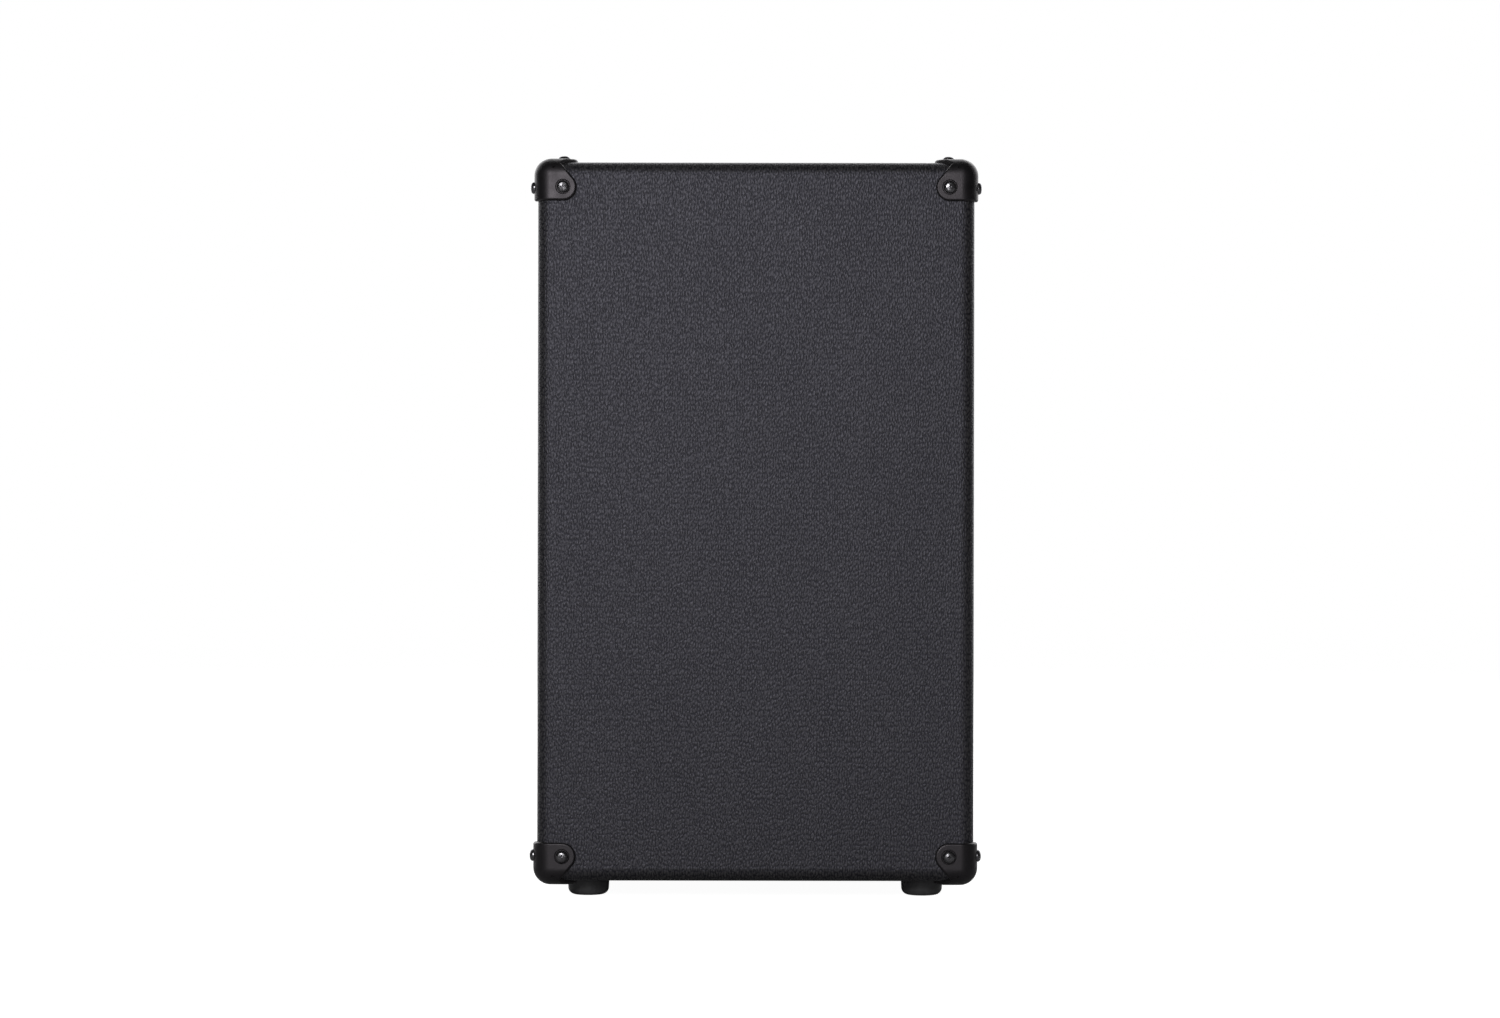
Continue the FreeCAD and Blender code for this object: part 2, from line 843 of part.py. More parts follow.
def tee_holes(points, into):
    return [rod(p, into, tee_barrel + shank_play, tee_depth + shank_play) for p in points]


def speaker_bolts():
    """Pan-head bolts from behind the basket flange into the tee nuts."""
    seat = baffle_rear + gasket + lip_paper + glue_line + steel
    length = seat - baffle_front
    head = 1.75 * bolt_radius
    one = turned([(0, head * 0.8), dome(head, head * 0.5, head * 0.3), (head, 0), (bolt_radius, 0),
                  (bolt_radius, -length), (0, -length)])
    return group([placed(one, (x, seat, z), (0, 1, 0)) for x, z in bolt_places()])


def bolt_holes(y0, y1):
    radius = bolt_radius + shank_play
    return [rod((x, y0, z), (0, 1, 0), radius, y1 - y0) for x, z in bolt_places()]


# Loudspeaker


def spun(steps):
    """A turned piece of the loudspeaker: radius and depth behind the baffle."""
    return turned(steps, flat, (0, 1, 0)).translated(Vector(0, baffle_rear, mid_z))


def corrugated(outer, start, count, roll, depth, paper, inner):
    """A turned sheet with an odd number of half-round rolls between two flat lips."""
    half = paper / 2
    big, small = roll + half, roll - half
    lift = math.sqrt(big ** 2 - half ** 2)
    bumps = [(start - roll * (2 * i + 1), 1 - 2 * (i % 2)) for i in range(count)]
    first, last = bumps[0][0], bumps[-1][0]
    steps = [(outer, depth - half), (first + lift, depth - half)]
    for centre, side in bumps[:-1]:
        r = big if side > 0 else small
        steps.append(((centre, depth - side * r), (centre - r, depth)))
    steps.append(((last, depth - big), (last - lift, depth - half)))
    steps += [(inner, depth - half), (inner, depth + half)]
    steps += [(last - small, depth + half), (last - small, depth)]
    for centre, side in reversed(bumps):
        r = small if side > 0 else big
        steps.append(((centre, depth - side * r), (centre + r, depth)))
    steps += [(first + small, depth + half), (outer, depth + half)]
    return spun(steps)


def speaker_basket():
    t = steel
    f0 = gasket + lip_paper + glue_line
    ring = landing_inner - 8 * t
    body = spun([
        (flange_radius, f0), (surround_outer + t, f0), (landing_outer, spider_depth),
        (landing_inner, spider_depth), (landing_inner, motor_depth - t), (ring, motor_depth - t),
        (ring, motor_depth), (landing_inner + t, motor_depth), (landing_inner + t, spider_depth + t),
        (landing_outer + 0.8 * t, spider_depth + t), (surround_outer + 1.8 * t, f0 + t),
        (flange_radius, f0 + t),
    ])
    inner, outer = landing_outer + window_margin, surround_outer - window_margin
    windows = []
    for i in range(window_count):
        corners = [(inner, 0), (outer, 0), (outer, motor_depth), (inner, motor_depth)]
        sector = turned(corners, flat, (0, 1, 0), window_angle)
        start = 90 - window_angle / 2 + i * 360 / window_count
        sector = sector.rotated(Vector(0, 0, 0), Vector(0, 1, 0), start)
        windows.append(sector.translated(Vector(0, baffle_rear, mid_z)))
    y0 = baffle_rear + f0
    return body.cut(windows + bolt_holes(y0, y0 + t))


def speaker_gasket():
    inner = surround_outer + lip_paper
    ring = spun([(flange_radius, 0), (flange_radius, gasket), (inner, gasket), (inner, 0)])
    return ring.cut(bolt_holes(baffle_rear, baffle_rear + gasket))


def speaker_surround():
    """The corrugated paper edge, clamped between gasket and flange and glued to the cone."""
    grip = bolt_circle - bolt_radius - 2 * shank_play
    return corrugated(grip, surround_outer, surround_rolls, surround_roll, surround_plane, lip_paper,
                      cone_rim - cone_lip)


def cone_start():
    """Radius and depth where the cone's curve leaves its flat rim."""
    return (cone_rim - cone_lip, surround_plane + lip_paper / 2 + body_gap)


def cone_mid():
    """A point of the cone's curve between its neck and its rim."""
    x, y = cone_start()
    return (neck_radius + cone_bow[0] * (x - neck_radius), y + cone_bow[1] * (cone_neck_depth - y))


def cone_depth(radius):
    """Depth of the cone's front surface, on the circle through its three points."""
    (x1, y1), (x2, y2), (x3, y3) = cone_start(), cone_mid(), (neck_radius, cone_neck_depth)
    d = 2 * (x1 * (y2 - y3) + x2 * (y3 - y1) + x3 * (y1 - y2))
    s1, s2, s3 = x1 * x1 + y1 * y1, x2 * x2 + y2 * y2, x3 * x3 + y3 * y3
    cx = (s1 * (y2 - y3) + s2 * (y3 - y1) + s3 * (y1 - y2)) / d
    cy = (s1 * (x3 - x2) + s2 * (x1 - x3) + s3 * (x2 - x1)) / d
    side = math.copysign(1, y2 - cy)
    return cy + side * math.sqrt((x1 - cx) ** 2 + (y1 - cy) ** 2 - (radius - cx) ** 2)


def speaker_cone():
    x, y = cone_start()
    t = cone_paper
    rim = cone_rim - body_gap
    bow = cone_mid()
    bend = (bow[0], bow[1] + t)
    return spun([
        (rim, y), (x, y), (bow, (neck_radius, cone_neck_depth)), (neck_radius, cone_neck_depth + t),
        (bend, (x, y + t)), (rim, y + t),
    ])


def dust_cap():
    base = cone_depth(cap_seat_radius) - glue_line
    inner = cap_seat_radius - cap_paper
    under, end = dome(inner, cap_paper - cap_rise, base)
    return spun([
        (0, base - cap_rise), dome(cap_seat_radius, -cap_rise, base),
        end, (under, (0, base - cap_rise + cap_paper)),
    ])


def coil_end():
    return motor_depth + front_plate / 2 + coil_length / 2


def speaker_tube(inner, outer, start, end):
    return spun([(inner, start), (outer, start), (outer, end), (inner, end)])


def voice_coil_former():
    top = cone_neck_depth - 4 * cone_paper
    return speaker_tube(former_radius, former_radius + former_wall, top, coil_end())


def coil_radius():
    return neck_radius + coil_wall


def voice_coil():
    return speaker_tube(neck_radius, coil_radius(), coil_end() - coil_length, coil_end())


def speaker_spider():
    start = landing_inner - 2 * body_gap
    inner = former_radius + former_wall + body_gap
    roll = (start - inner) / (2 * spider_rolls + 2)
    plane = spider_depth - glue_line - spider_cloth / 2
    return corrugated(landing_outer - fit_gap, start, spider_rolls, roll, plane, spider_cloth, inner)


def front_plate_ring():
    inner = coil_radius() + coil_gap
    return speaker_tube(inner, front_plate_radius, motor_depth, motor_depth + front_plate)


def ring_magnet():
    start = motor_depth + front_plate
    return speaker_tube(magnet_bore, magnet_radius, start, start + magnet)


def yoke():
    start = motor_depth + front_plate + magnet
    end = start + back_plate
    pole = former_radius - coil_gap
    return spun([
        (vent_radius, end), (back_plate_radius, end), (back_plate_radius, start), (pole, start),
        (pole, motor_depth), (vent_radius, motor_depth),
    ])


def strip_top():
    """The outer face of the terminal strip, under the speaker's axis."""
    return mid_z - strip_inner - strip_width


def tab_y():
    return baffle_rear + (spider_depth + steel + motor_depth) / 2


def terminal_strip():
    y0, y1 = baffle_rear + spider_depth + 2 * steel, baffle_rear + motor_depth
    half = strip_length / 2
    return box((-half, y0, strip_top()), (half, y1, strip_top() + strip_width))


def terminal_tabs():
    tabs = []
    for sx in (-1, 1):
        x, z = sx * tab_spacing / 2, strip_top()
        low = (x - tab_half_width, tab_y(), z - tab_reach)
        tabs.append(box(low, (x + tab_half_width, tab_y() + tab, z)))
    return tabs


def run_of(points, radius):
    """A round wire along straight runs with an arc tangent to both at each turn."""
    points = [Vector(*p) for p in points]
    edges, here = [], points[0]
    for before, corner, after in zip(points, points[1:], points[2:]):
        back, ahead = (before - corner), (after - corner)
        shorter = min(back.Length, ahead.Length)
        back.normalize()
        ahead.normalize()
        cut = 0.45 * shorter
        start, end = corner + back * cut, corner + ahead * cut
        opening = back.getAngle(ahead) / 2
        bisector = back + ahead
        bisector.normalize()
        arc_radius = cut * math.tan(opening)
        print("wire", 2 * radius, "mm thick: bend radius", round(arc_radius, 1), "mm")
        mid = corner + bisector * (cut / math.cos(opening) - arc_radius)
        edges.append(Part.LineSegment(here, start).toShape())
        edges.append(Part.Arc(start, mid, end).toShape())
        here = end
    edges.append(Part.LineSegment(here, points[-1]).toShape())
    circle = Part.Wire(Part.makeCircle(radius, points[0], points[1] - points[0]))
    return Part.Wire(edges).makePipeShell([circle], True, False)


def tinsel_leads():
    """Flexible leads from the back of the cone out through a basket window to the tabs."""
    leaving = landing_outer - 2 * steel
    passing = landing_outer + window_margin + 6 * steel
    start = cone_depth(leaving) + cone_paper + 2 * tinsel_radius + body_gap
    end = strip_top() - tab_reach * 0.7
    leads = []
    for sx in (-1, 1):
        x = sx * tab_spacing / 2
        leads.append(run_of([
            (x, baffle_rear + start, mid_z - leaving),
            (x, baffle_rear + (start + spider_depth) / 2 - 6 * steel, mid_z - passing),
            (x, baffle_rear + spider_depth + steel, mid_z - passing),
            (x, tab_y() - tinsel_radius - glue_line, end),
        ], tinsel_radius))
    return group(leads)


# Jacks and wiring


def jack_places():
    return {"input": -jack_spacing / 2, "link": jack_spacing / 2}


def jack_cup():
    """A round moulded dish let into the back panel, with its two jack holes."""
    bevel = cup_wall / 3
    dish = turned([
        (cup_flange, 0), (cup_flange, cup_wall - bevel), (cup_flange - bevel, cup_wall),
        (cup_mouth, cup_wall), (cup_floor, -cup_depth), (0, -cup_depth), (0, -cup_depth - cup_wall),
        (cup_floor + cup_wall, -cup_depth - cup_wall), (cup_mouth + cup_wall, 0),
    ], flat, (0, 1, 0))
    dish = dish.translated(Vector(0, back_face, cup_z))
    radius = bushing_radius + shank_play
    holes = [rod((x, jack_plane, cup_z), (0, 1, 0), radius, cup_wall) for x in jack_places().values()]
    return dish.cut(holes + screw_holes(cup_screw_places(), cup_screw_length))


def cup_hole():
    return rod((0, back_inner, cup_z), (0, 1, 0), cup_mouth + cup_wall + fit_gap, rear - back_inner)


def jack_frame(x):
    """A threaded bushing on a bent steel frame that reaches back beside the plug."""
    low, high = cup_z - frame_drop, cup_z + frame_half_width
    left, right = x - frame_half_width, x + frame_half_width
    y0, y1 = jack_plane - frame_steel, jack_plane
    plate = box((left, y0, low), (right, y1, high))
    arm = box((left, jack_plane - frame_reach, low), (right, y0, low + frame_steel))
    bushing = rod((x, y0, cup_z), (0, 1, 0), bushing_radius, bushing_length)
    bore = rod((x, y0, cup_z), (0, 1, 0), jack_bore, bushing_length)
    return plate.multiFuse([arm, bushing]).removeSplitter().cut(bore)


def leaf_levels():
    """Bottom and top of the clamped leaf springs."""
    middle = cup_z - leaf_drop
    return middle - leaf / 2, middle + leaf / 2


def jack_insulators():
    low, high = leaf_levels()
    base = cup_z - frame_drop + frame_steel
    y0 = jack_plane - frame_reach
    pads = []
    for x in jack_places().values():
        left, right = x - frame_half_width / 2, x + frame_half_width / 2
        for z0, z1 in ((base, low), (high, base + stack_height)):
            pads.append(box((left, y0, z0), (right, y0 + stack_length, z1)))
    return group(pads)


def jack_lugs():
    """The clamped ends of the leaf springs, with tails for the wires."""
    low, high = leaf_levels()
    y0 = jack_plane - frame_reach
    return [box((x - leaf_half_width, y0 - lug_reach, low), (x + leaf_half_width, y0 + stack_length, high))
            for x in jack_places().values()]


def jack_tip_spring(x):
    """The free part of a leaf spring, bent towards the plug's path and away again at its end."""
    low, high = leaf_levels()
    root = jack_plane - frame_reach + stack_length + body_gap
    free = frame_reach - stack_length - body_gap - frame_steel
    touch = cup_z - 0.8 * jack_bore
    shape = [(0, 0), (0.1, 0), (0.45, 1), (0.58, 1), (0.78, 0.55)]
    under = [(root + u * free, low + v * (touch - low - leaf)) for u, v in shape]
    over = [(y, z + leaf) for y, z in reversed(under)]
    face = outline(under + over, lambda y, z: Vector(x - leaf_half_width, y, z))
    return face.extrude(Vector(2 * leaf_half_width, 0, 0))


def jack_nuts():
    seat = jack_plane + cup_wall
    bore = bushing_radius + shank_play
    pieces = []
    for x in jack_places().values():
        corners = [around((0, 0), nut_flats / math.sqrt(3), math.radians(60 * i)) for i in range(6)]
        nut = outline(corners, upright).extrude(Vector(0, nut_height, 0))
        nut = nut.translated(Vector(x, seat + nut_washer, cup_z))
        washer = rod((x, seat, cup_z), (0, 1, 0), nut_flats / 2, nut_washer)
        hole = rod((x, seat, cup_z), (0, 1, 0), bore, nut_washer + nut_height)
        pieces += [nut.cut(hole), washer.cut(hole)]
    return group(pieces)


def wire_run(sx, z, end_y):
    """From a speaker tab down, in a slack loop below the jacks, and up to a jack's level."""
    x, y = sx * tab_spacing / 2, tab_y() + tab + wire_radius + glue_line
    end_x = sx * jack_spacing / 2
    reach = end_y - y
    return run_of([
        (x, y, strip_top() - tab_reach / 2),
        (x, y, z),
        (x, y + 0.25 * reach, z - wire_sag),
        (end_x, y + 0.65 * reach, z - wire_sag),
        (end_x, end_y - 0.15 * reach, z),
        (end_x, end_y, z),
    ], wire_radius)


def jack_link(y, z):
    """A short slack wire from one jack to the other."""
    x = jack_spacing / 2
    level = 0.6 * x
    return run_of([(-x, y, z), (-level, y, z), (0, y, z - link_sag), (level, y, z), (x, y, z)], wire_radius)


def red_wires():
    """The tip side: one run to the speaker and one link between the jacks."""
    low, high = leaf_levels()
    tail = jack_plane - frame_reach - lug_reach
    link = jack_link(tail + 2 * wire_radius, high + wire_radius + glue_line)
    return group([wire_run(-1, (low + high) / 2, tail - glue_line), link])


def black_wires():
    """The sleeve side, under the jack frames."""
    z = cup_z - frame_drop - wire_radius - glue_line
    y = jack_plane - frame_reach
    return group([wire_run(1, z, y + wire_radius), jack_link(y + 4 * wire_radius, z)])


# Everything, node by node


def all_parts():
    corner_places = corner_screw_places(False) + corner_screw_places(True)
    corner_holes = screw_holes(corner_places, corner_screw_length)
    foot_holes = screw_holes(foot_seats(), foot_screw_length)
    rear_holes = screw_holes(rear_screw_places(), rear_screw_length)
    cup_holes = screw_holes(cup_screw_places(), cup_screw_length) + [cup_hole()]
    handle_holes = screw_holes(handle_screw_places(), handle_screw_length())
    under = Vector(0, 0, -wall)
    handle_nut_holes = tee_holes([p + under for p in handle_places()], (0, 0, 1))
    bolt_nut_holes = tee_holes([Vector(x, baffle_front, z) for x, z in bolt_places()], (0, 1, 0))
    ring = carcass_ring()
    tabs = terminal_tabs() + jack_lugs()

    parts = {
        "left_side_panel": side_panel(ring, -1, corner_holes),
        "right_side_panel": side_panel(ring, 1, corner_holes),
        "top_panel": level_panel(ring, 1, corner_holes + handle_holes + handle_nut_holes),
        "bottom_panel": level_panel(ring, -1, corner_holes + foot_holes),
        "baffle_board": baffle_board(bolt_nut_holes + bolt_holes(baffle_front, baffle_rear)),
        "baffle_cleats": cleat_frame(baffle_rear, baffle_rear + cleat, []),
        "rear_cleats": cleat_frame(back_inner - cleat, back_inner, rear_holes),
        "back_panel": back_panel(lip + back_gap + skin, back_inner, back_outer, rear_holes + cup_holes),
        "tolex_cover": vinyl_cover(corner_holes + foot_holes + handle_holes),
        "back_tolex": back_vinyl(rear_holes + cup_holes),
        "grille_frame": grille_frame(),
        "grille_cloth": grille_cloth(),
        "grille_piping": piping_ring(),
        "hook_and_loop_pads": hook_and_loop_pads(),
        "corner_screws": corner_screws(),
        "foot_washers": foot_washers(),
        "foot_screws": screws(pan_screw(foot_screw_length), foot_seats()),
        "handle_strap": handle_strap(),
        "handle_caps": group([handle_cap(-1), handle_cap(1)]),
        "handle_screws": screws(pan_screw(handle_screw_length()), handle_screw_places()),
        "tee_nuts": tee_nuts(),
        "back_panel_screws": screws(pan_screw(rear_screw_length), rear_screw_places()),
        "back_panel_washers": rear_washers(),
        "jack_cup_screws": screws(pan_screw(cup_screw_length), cup_screw_places()),
        "speaker_basket": speaker_basket(),
        "speaker_gasket": speaker_gasket(),
        "speaker_surround": speaker_surround(),
        "speaker_cone": speaker_cone(),
        "dust_cap": dust_cap(),
        "voice_coil_former": voice_coil_former(),
        "voice_coil": voice_coil(),
        "speaker_spider": speaker_spider(),
        "front_plate": front_plate_ring(),
        "ring_magnet": ring_magnet(),
        "yoke": yoke(),
        "terminal_strip": terminal_strip(),
        "solder_tabs": group(tabs),
        "tinsel_leads": tinsel_leads(),
        "speaker_bolts": speaker_bolts(),
        "jack_cup": jack_cup(),
        "jack_insulators": jack_insulators(),
        "jack_nuts": jack_nuts(),
        "red_wires": red_wires(),
        "black_wires": black_wires(),
    }
    parts.update(corner_set())
    rubber = foot()
    parts.update({name: rubber.translated(point) for name, point in foot_places().items()})
    for name, x in jack_places().items():
        parts[f"jack_frame_{name}"] = jack_frame(x)
        parts[f"jack_tip_spring_{name}"] = jack_tip_spring(x)
    return parts


os.makedirs("parts", exist_ok=True)
for name, shape in all_parts().items():
    shape.exportStep(f"parts/{name}.step")
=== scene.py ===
# %% [markdown]
# # A closed guitar speaker cabinet
# The CAD frame holds every board, corner and screw in its place, in metres. This lesson gives each
# surface the finish of its real material, adds the soft pieces that a solid can't show, and sets a
# camera and lights as for a straight product picture of one side.

# %% Load the frame
import json
import math

import bpy
from mathutils import Euler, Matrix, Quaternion, Vector


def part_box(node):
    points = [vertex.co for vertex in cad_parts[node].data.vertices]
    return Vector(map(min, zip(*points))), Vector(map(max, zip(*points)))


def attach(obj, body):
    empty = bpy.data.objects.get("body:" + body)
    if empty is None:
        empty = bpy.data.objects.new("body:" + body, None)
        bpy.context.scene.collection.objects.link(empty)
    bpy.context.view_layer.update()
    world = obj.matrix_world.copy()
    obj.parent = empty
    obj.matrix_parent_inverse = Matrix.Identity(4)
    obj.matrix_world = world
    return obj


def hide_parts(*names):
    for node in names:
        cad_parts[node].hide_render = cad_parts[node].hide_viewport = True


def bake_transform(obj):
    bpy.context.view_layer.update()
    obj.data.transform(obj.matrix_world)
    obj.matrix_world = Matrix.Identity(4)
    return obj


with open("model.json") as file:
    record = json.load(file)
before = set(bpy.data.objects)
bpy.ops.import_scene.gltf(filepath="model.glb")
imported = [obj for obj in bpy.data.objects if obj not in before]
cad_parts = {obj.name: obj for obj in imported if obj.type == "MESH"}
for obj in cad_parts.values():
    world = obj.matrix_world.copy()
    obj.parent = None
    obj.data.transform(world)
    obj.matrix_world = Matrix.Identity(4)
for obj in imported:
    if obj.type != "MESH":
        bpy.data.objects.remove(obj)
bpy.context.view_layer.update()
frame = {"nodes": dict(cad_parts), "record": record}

nodes = frame["nodes"]

# %% [markdown]
# ## Camera
# The picture looks straight at the right-hand side, with the grille to its left. A camera that is
# tilted or close would make the edges lean, so this one stands level and well back with a long lens.
# The lens follows from two facts: how far the camera stands from the side, and how much of the side
# one pixel of a 1500-pixel-wide picture covers. The upright edges are a tenth of a degree off plumb,
# which the camera's roll gives. It aims at the vinyl that reaches furthest to the right.

# %% Camera
picture_width, picture_height = 1500, 1018
pixel = 0.0006966
stand_off = 2.5
middle_seen_at = (755.85, 521.8)
roll = math.radians(0.1)
sensor = 36.0

coverings = [s["node"] for s in frame["record"]["subparts"] if s["material_slot"] == "black_vinyl"]
low, high = max((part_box(name) for name in coverings), key=lambda box: box[1].x)
side_middle = (low + high) / 2
right_of_middle = (picture_width / 2 - middle_seen_at[0]) * pixel
above_middle = (middle_seen_at[1] - picture_height / 2) * pixel

camera = bpy.data.objects.new("camera", bpy.data.cameras.new("camera"))
bpy.context.scene.collection.objects.link(camera)
camera.location = (high.x + stand_off, side_middle.y + right_of_middle, side_middle.z + above_middle)
level = Euler((math.radians(90), 0, math.radians(90))).to_quaternion()
camera.rotation_mode = "QUATERNION"
camera.rotation_quaternion = level @ Quaternion((0, 0, 1), roll)
camera.data.sensor_width = sensor
camera.data.lens = sensor * stand_off / (pixel * picture_width)
bpy.context.scene.camera = camera
bpy.context.scene.view_settings.view_transform = "Standard"
print("camera:", [round(v, 4) for v in camera.location], "lens", round(camera.data.lens, 1), "mm")

# %% [markdown]
# ## Nodes and colours
# Colours are written as sRGB hex, as a paint chart gives them, and one function turns them to the
# linear numbers that a shader needs. One more function adds a node: its inputs are numbers, or other
# nodes' outputs, which it links. Patterns are measured in millimetres, and the frame is in metres, so
# a texture's scale is a thousand divided by the size of one of its features.

# %% Nodes and colours
def linear(chart):
    """An sRGB hex colour as linear red, green and blue with full alpha."""
    shares = [int(chart[i:i + 2], 16) / 255 for i in (1, 3, 5)]
    return tuple(s / 12.92 if s <= 0.04045 else ((s + 0.055) / 1.055) ** 2.4 for s in shares) + (1.0,)


def add(tree, kind, inputs=None, **settings):
    """One node with its settings; an input that is a node or a socket is linked."""
    node = tree.nodes.new("ShaderNode" + kind)
    for name, value in settings.items():
        setattr(node, name, value)
    for name, value in (inputs or {}).items():
        if isinstance(value, bpy.types.Node):
            value = value.outputs[0]
        if isinstance(value, bpy.types.NodeSocket):
            tree.links.new(value, node.inputs[name])
        else:
            node.inputs[name].default_value = value
    return node


def per_mm(size):
    """A texture's scale for features of this size in millimetres."""
    return 1000.0 / size


print("middle grey in linear light:", [round(c, 4) for c in linear("#808080")])

# %% [markdown]
# ## A finish
# Every finish starts from one Principled shader. What is the same all over goes straight on its
# sockets. What varies, such as grain, comes from nodes that end in its sockets. A finish could be set
# piece by piece, but the record says which CAD nodes share a material, so it is put on a whole material
# slot at once, and the meshes stay as they are.

# %% A finish
def new_finish(name, chart, roughness, **sockets):
    """A material with its even values; other sockets are named with _ for a space."""
    finish = bpy.data.materials.new(name)
    finish.use_nodes = True
    shader = finish.node_tree.nodes["Principled BSDF"]
    shader.inputs["Base Color"].default_value = linear(chart)
    shader.inputs["Roughness"].default_value = roughness
    for socket, value in sockets.items():
        shader.inputs[socket.replace("_", " ")].default_value = value
    return finish, finish.node_tree, shader


def join(tree, shader, **sources):
    """Links nodes to the shader's sockets, named with _ for a space."""
    for socket, source in sources.items():
        out = source.outputs[0] if isinstance(source, bpy.types.Node) else source
        tree.links.new(out, shader.inputs[socket.replace("_", " ")])


def dress(finish, slot, leave_out=()):
    """Puts a finish on every CAD node of a material slot."""
    dressed = [s["node"] for s in frame["record"]["subparts"] if s["material_slot"] == slot]
    dressed = [name for name in dressed if name not in leave_out]
    for name in dressed:
        slots = nodes[name].data.materials
        slots.clear()
        slots.append(finish)
    print(finish.name, "on", len(dressed), "nodes of", slot)


kinds = {s["material_slot"] for s in frame["record"]["subparts"]}
print("material slots in the record:", len(kinds))

# %% [markdown]
# ## Extruded PVC insulation
# The hook-up wires have a smooth PVC jacket, drawn through a die round the copper. It is slightly glossy
# and a little uneven along its length. Red goes to the plug's tip and black to its sleeve. An even colour
# would look like a drawing, so one slow noise moves both its colour and its surface.

# %% Extruded PVC insulation
jackets = {}
unevenness = 9
for name, chart, other in (("red", "#8c1410", "#a3201a"), ("black", "#0e0e0f", "#191a1b")):
    jacket, tree, shader = new_finish(f"extruded_pvc_{name}", chart, 0.38, IOR=1.53)
    place = add(tree, "TexCoord").outputs["Object"]
    draw = add(tree, "TexNoise", {"Vector": place, "Scale": per_mm(unevenness), "Detail": 2.0})
    tint = add(tree, "Mix", {0: draw.outputs["Fac"], 6: linear(chart), 7: linear(other)}, data_type="RGBA")
    bump = add(tree, "Bump", {"Height": draw.outputs["Fac"], "Distance": 0.0001, "Strength": 0.5})
    join(tree, shader, Base_Color=tint.outputs[2], Normal=bump)
    jackets[name] = jacket
print("jackets:", ", ".join(jackets))

# %% [markdown]
# ## Wires
# A wire is one smooth line that hangs under its own weight. It could be a swept tube with bends, but that
# looks like stiff rod, so each is a NURBS curve with a round bevel, whose control points are the turns of
# its route. Each long wire leaves a speaker terminal, hangs in a slack loop and comes up level into a
# jack. Two short ones link the jacks.

# %% Wires
def wire(name, route, radius, finish):
    """A round NURBS curve along a route in millimetres."""
    data = bpy.data.curves.new(name, "CURVE")
    data.dimensions = "3D"
    data.bevel_depth = radius / 1000
    data.bevel_resolution = 4
    data.use_fill_caps = True
    spline = data.splines.new("NURBS")
    spline.points.add(len(route) - 1)
    for point, (x, y, z) in zip(spline.points, route):
        point.co = (x / 1000, y / 1000, z / 1000, 1)
    spline.order_u = 3
    spline.use_endpoint_u = True
    spline.resolution_u = 12
    data.materials.append(finish)
    made = bpy.data.objects.new(name, data)
    bpy.context.scene.collection.objects.link(made)
    return made


wire_radius = 1.3
tab_x, tab_y, tab_z = 9, -25.25, 196
jack_x, link_bend = 13, 7.8
loop_sag, link_sag = 28, 5
for colour, side, jack_z, jack_y, length, (link_y, link_z) in (
    ("red", -1, 146.75, 88.9, 0.178, (91.6, 148.4)),
    ("black", 1, 140.6, 95.3, 0.19, (99.2, 140.6)),
):
    from_x, to_x, reach, low_z = tab_x * side, jack_x * side, jack_y - tab_y, jack_z - loop_sag
    route = [(from_x, tab_y, tab_z), (from_x, tab_y, jack_z),
             (from_x, tab_y + 0.25 * reach, low_z), (to_x, tab_y + 0.65 * reach, low_z),
             (to_x, jack_y - 0.15 * reach, jack_z), (to_x, jack_y, jack_z)]
    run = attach(wire(f"{colour}_run", route, wire_radius, jackets[colour]), "cabinet")
    route = [(-jack_x, link_y, link_z), (-link_bend, link_y, link_z), (0, link_y, link_z - link_sag),
             (link_bend, link_y, link_z), (jack_x, link_y, link_z)]
    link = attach(wire(f"{colour}_link", route, wire_radius, jackets[colour]), "cabinet")
    for piece in (run, link):
        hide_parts(f"{colour}_wires")
print("wires: two runs to the speaker and two links")

# %% [markdown]
# ## Embossed vinyl covering
# The cabinet is covered in cloth-backed PVC. A hot roller pressed a leather-like grain into it: small
# irregular pebbles, longer up and down than across, with fine wrinkles on them. Black PVC is lit mostly
# by its own shine, which has a faint blue cast. The raised parts are glossier, and the colour is painted
# shade: black in the creases, dark grey on the raised parts. Both change slowly over a hand's width, as
# where the sheet was pulled tight.
#
# A pattern in three dimensions would cut through the pebbles and show blotches. The sheet is laid flat on
# each face, so the pattern is drawn in two: round the cabinet, and from front to back. The borders of cell
# noise give the creases, soft noise gives the wrinkles, and a third noise bends both so that nothing is
# regular.

# %% Embossed vinyl covering
vinyl, tree, shader = new_finish("embossed_vinyl", "#1d1c1e", 0.46, IOR=1.53,
                                 Specular_Tint=linear("#ebe9ff"))
pebble, bend, wrinkle, pull = 1.8, 4.0, 1.1, 45
bent_by, depth_of_grain = 0.0009, 0.00021
drawn_out = 2.0
steep = 0.71
spot = add(tree, "TexCoord")
x, y, z = add(tree, "SeparateXYZ", {0: spot.outputs["Object"]}).outputs
facing = add(tree, "VectorMath", {0: spot.outputs["Normal"]}, operation="ABSOLUTE")
nx, ny, nz = add(tree, "SeparateXYZ", {0: facing}).outputs
on_side = add(tree, "Math", {0: nx, 1: nz}, operation="GREATER_THAN")
on_lip = add(tree, "Math", {0: ny, 1: steep}, operation="GREATER_THAN")
round_it = add(tree, "Mix", {0: on_side, 2: x, 3: z})
girth = add(tree, "Mix", {0: on_lip, 2: round_it, 3: x})
depth = add(tree, "Mix", {0: on_lip, 2: y, 3: z})
longer = add(tree, "Math", {0: girth, 1: 1 / drawn_out}, operation="MULTIPLY")
laid = add(tree, "CombineXYZ", {0: longer, 1: depth})
wander = add(tree, "TexNoise", {"Vector": laid, "Scale": per_mm(bend), "Detail": 1.0},
             noise_dimensions="2D")
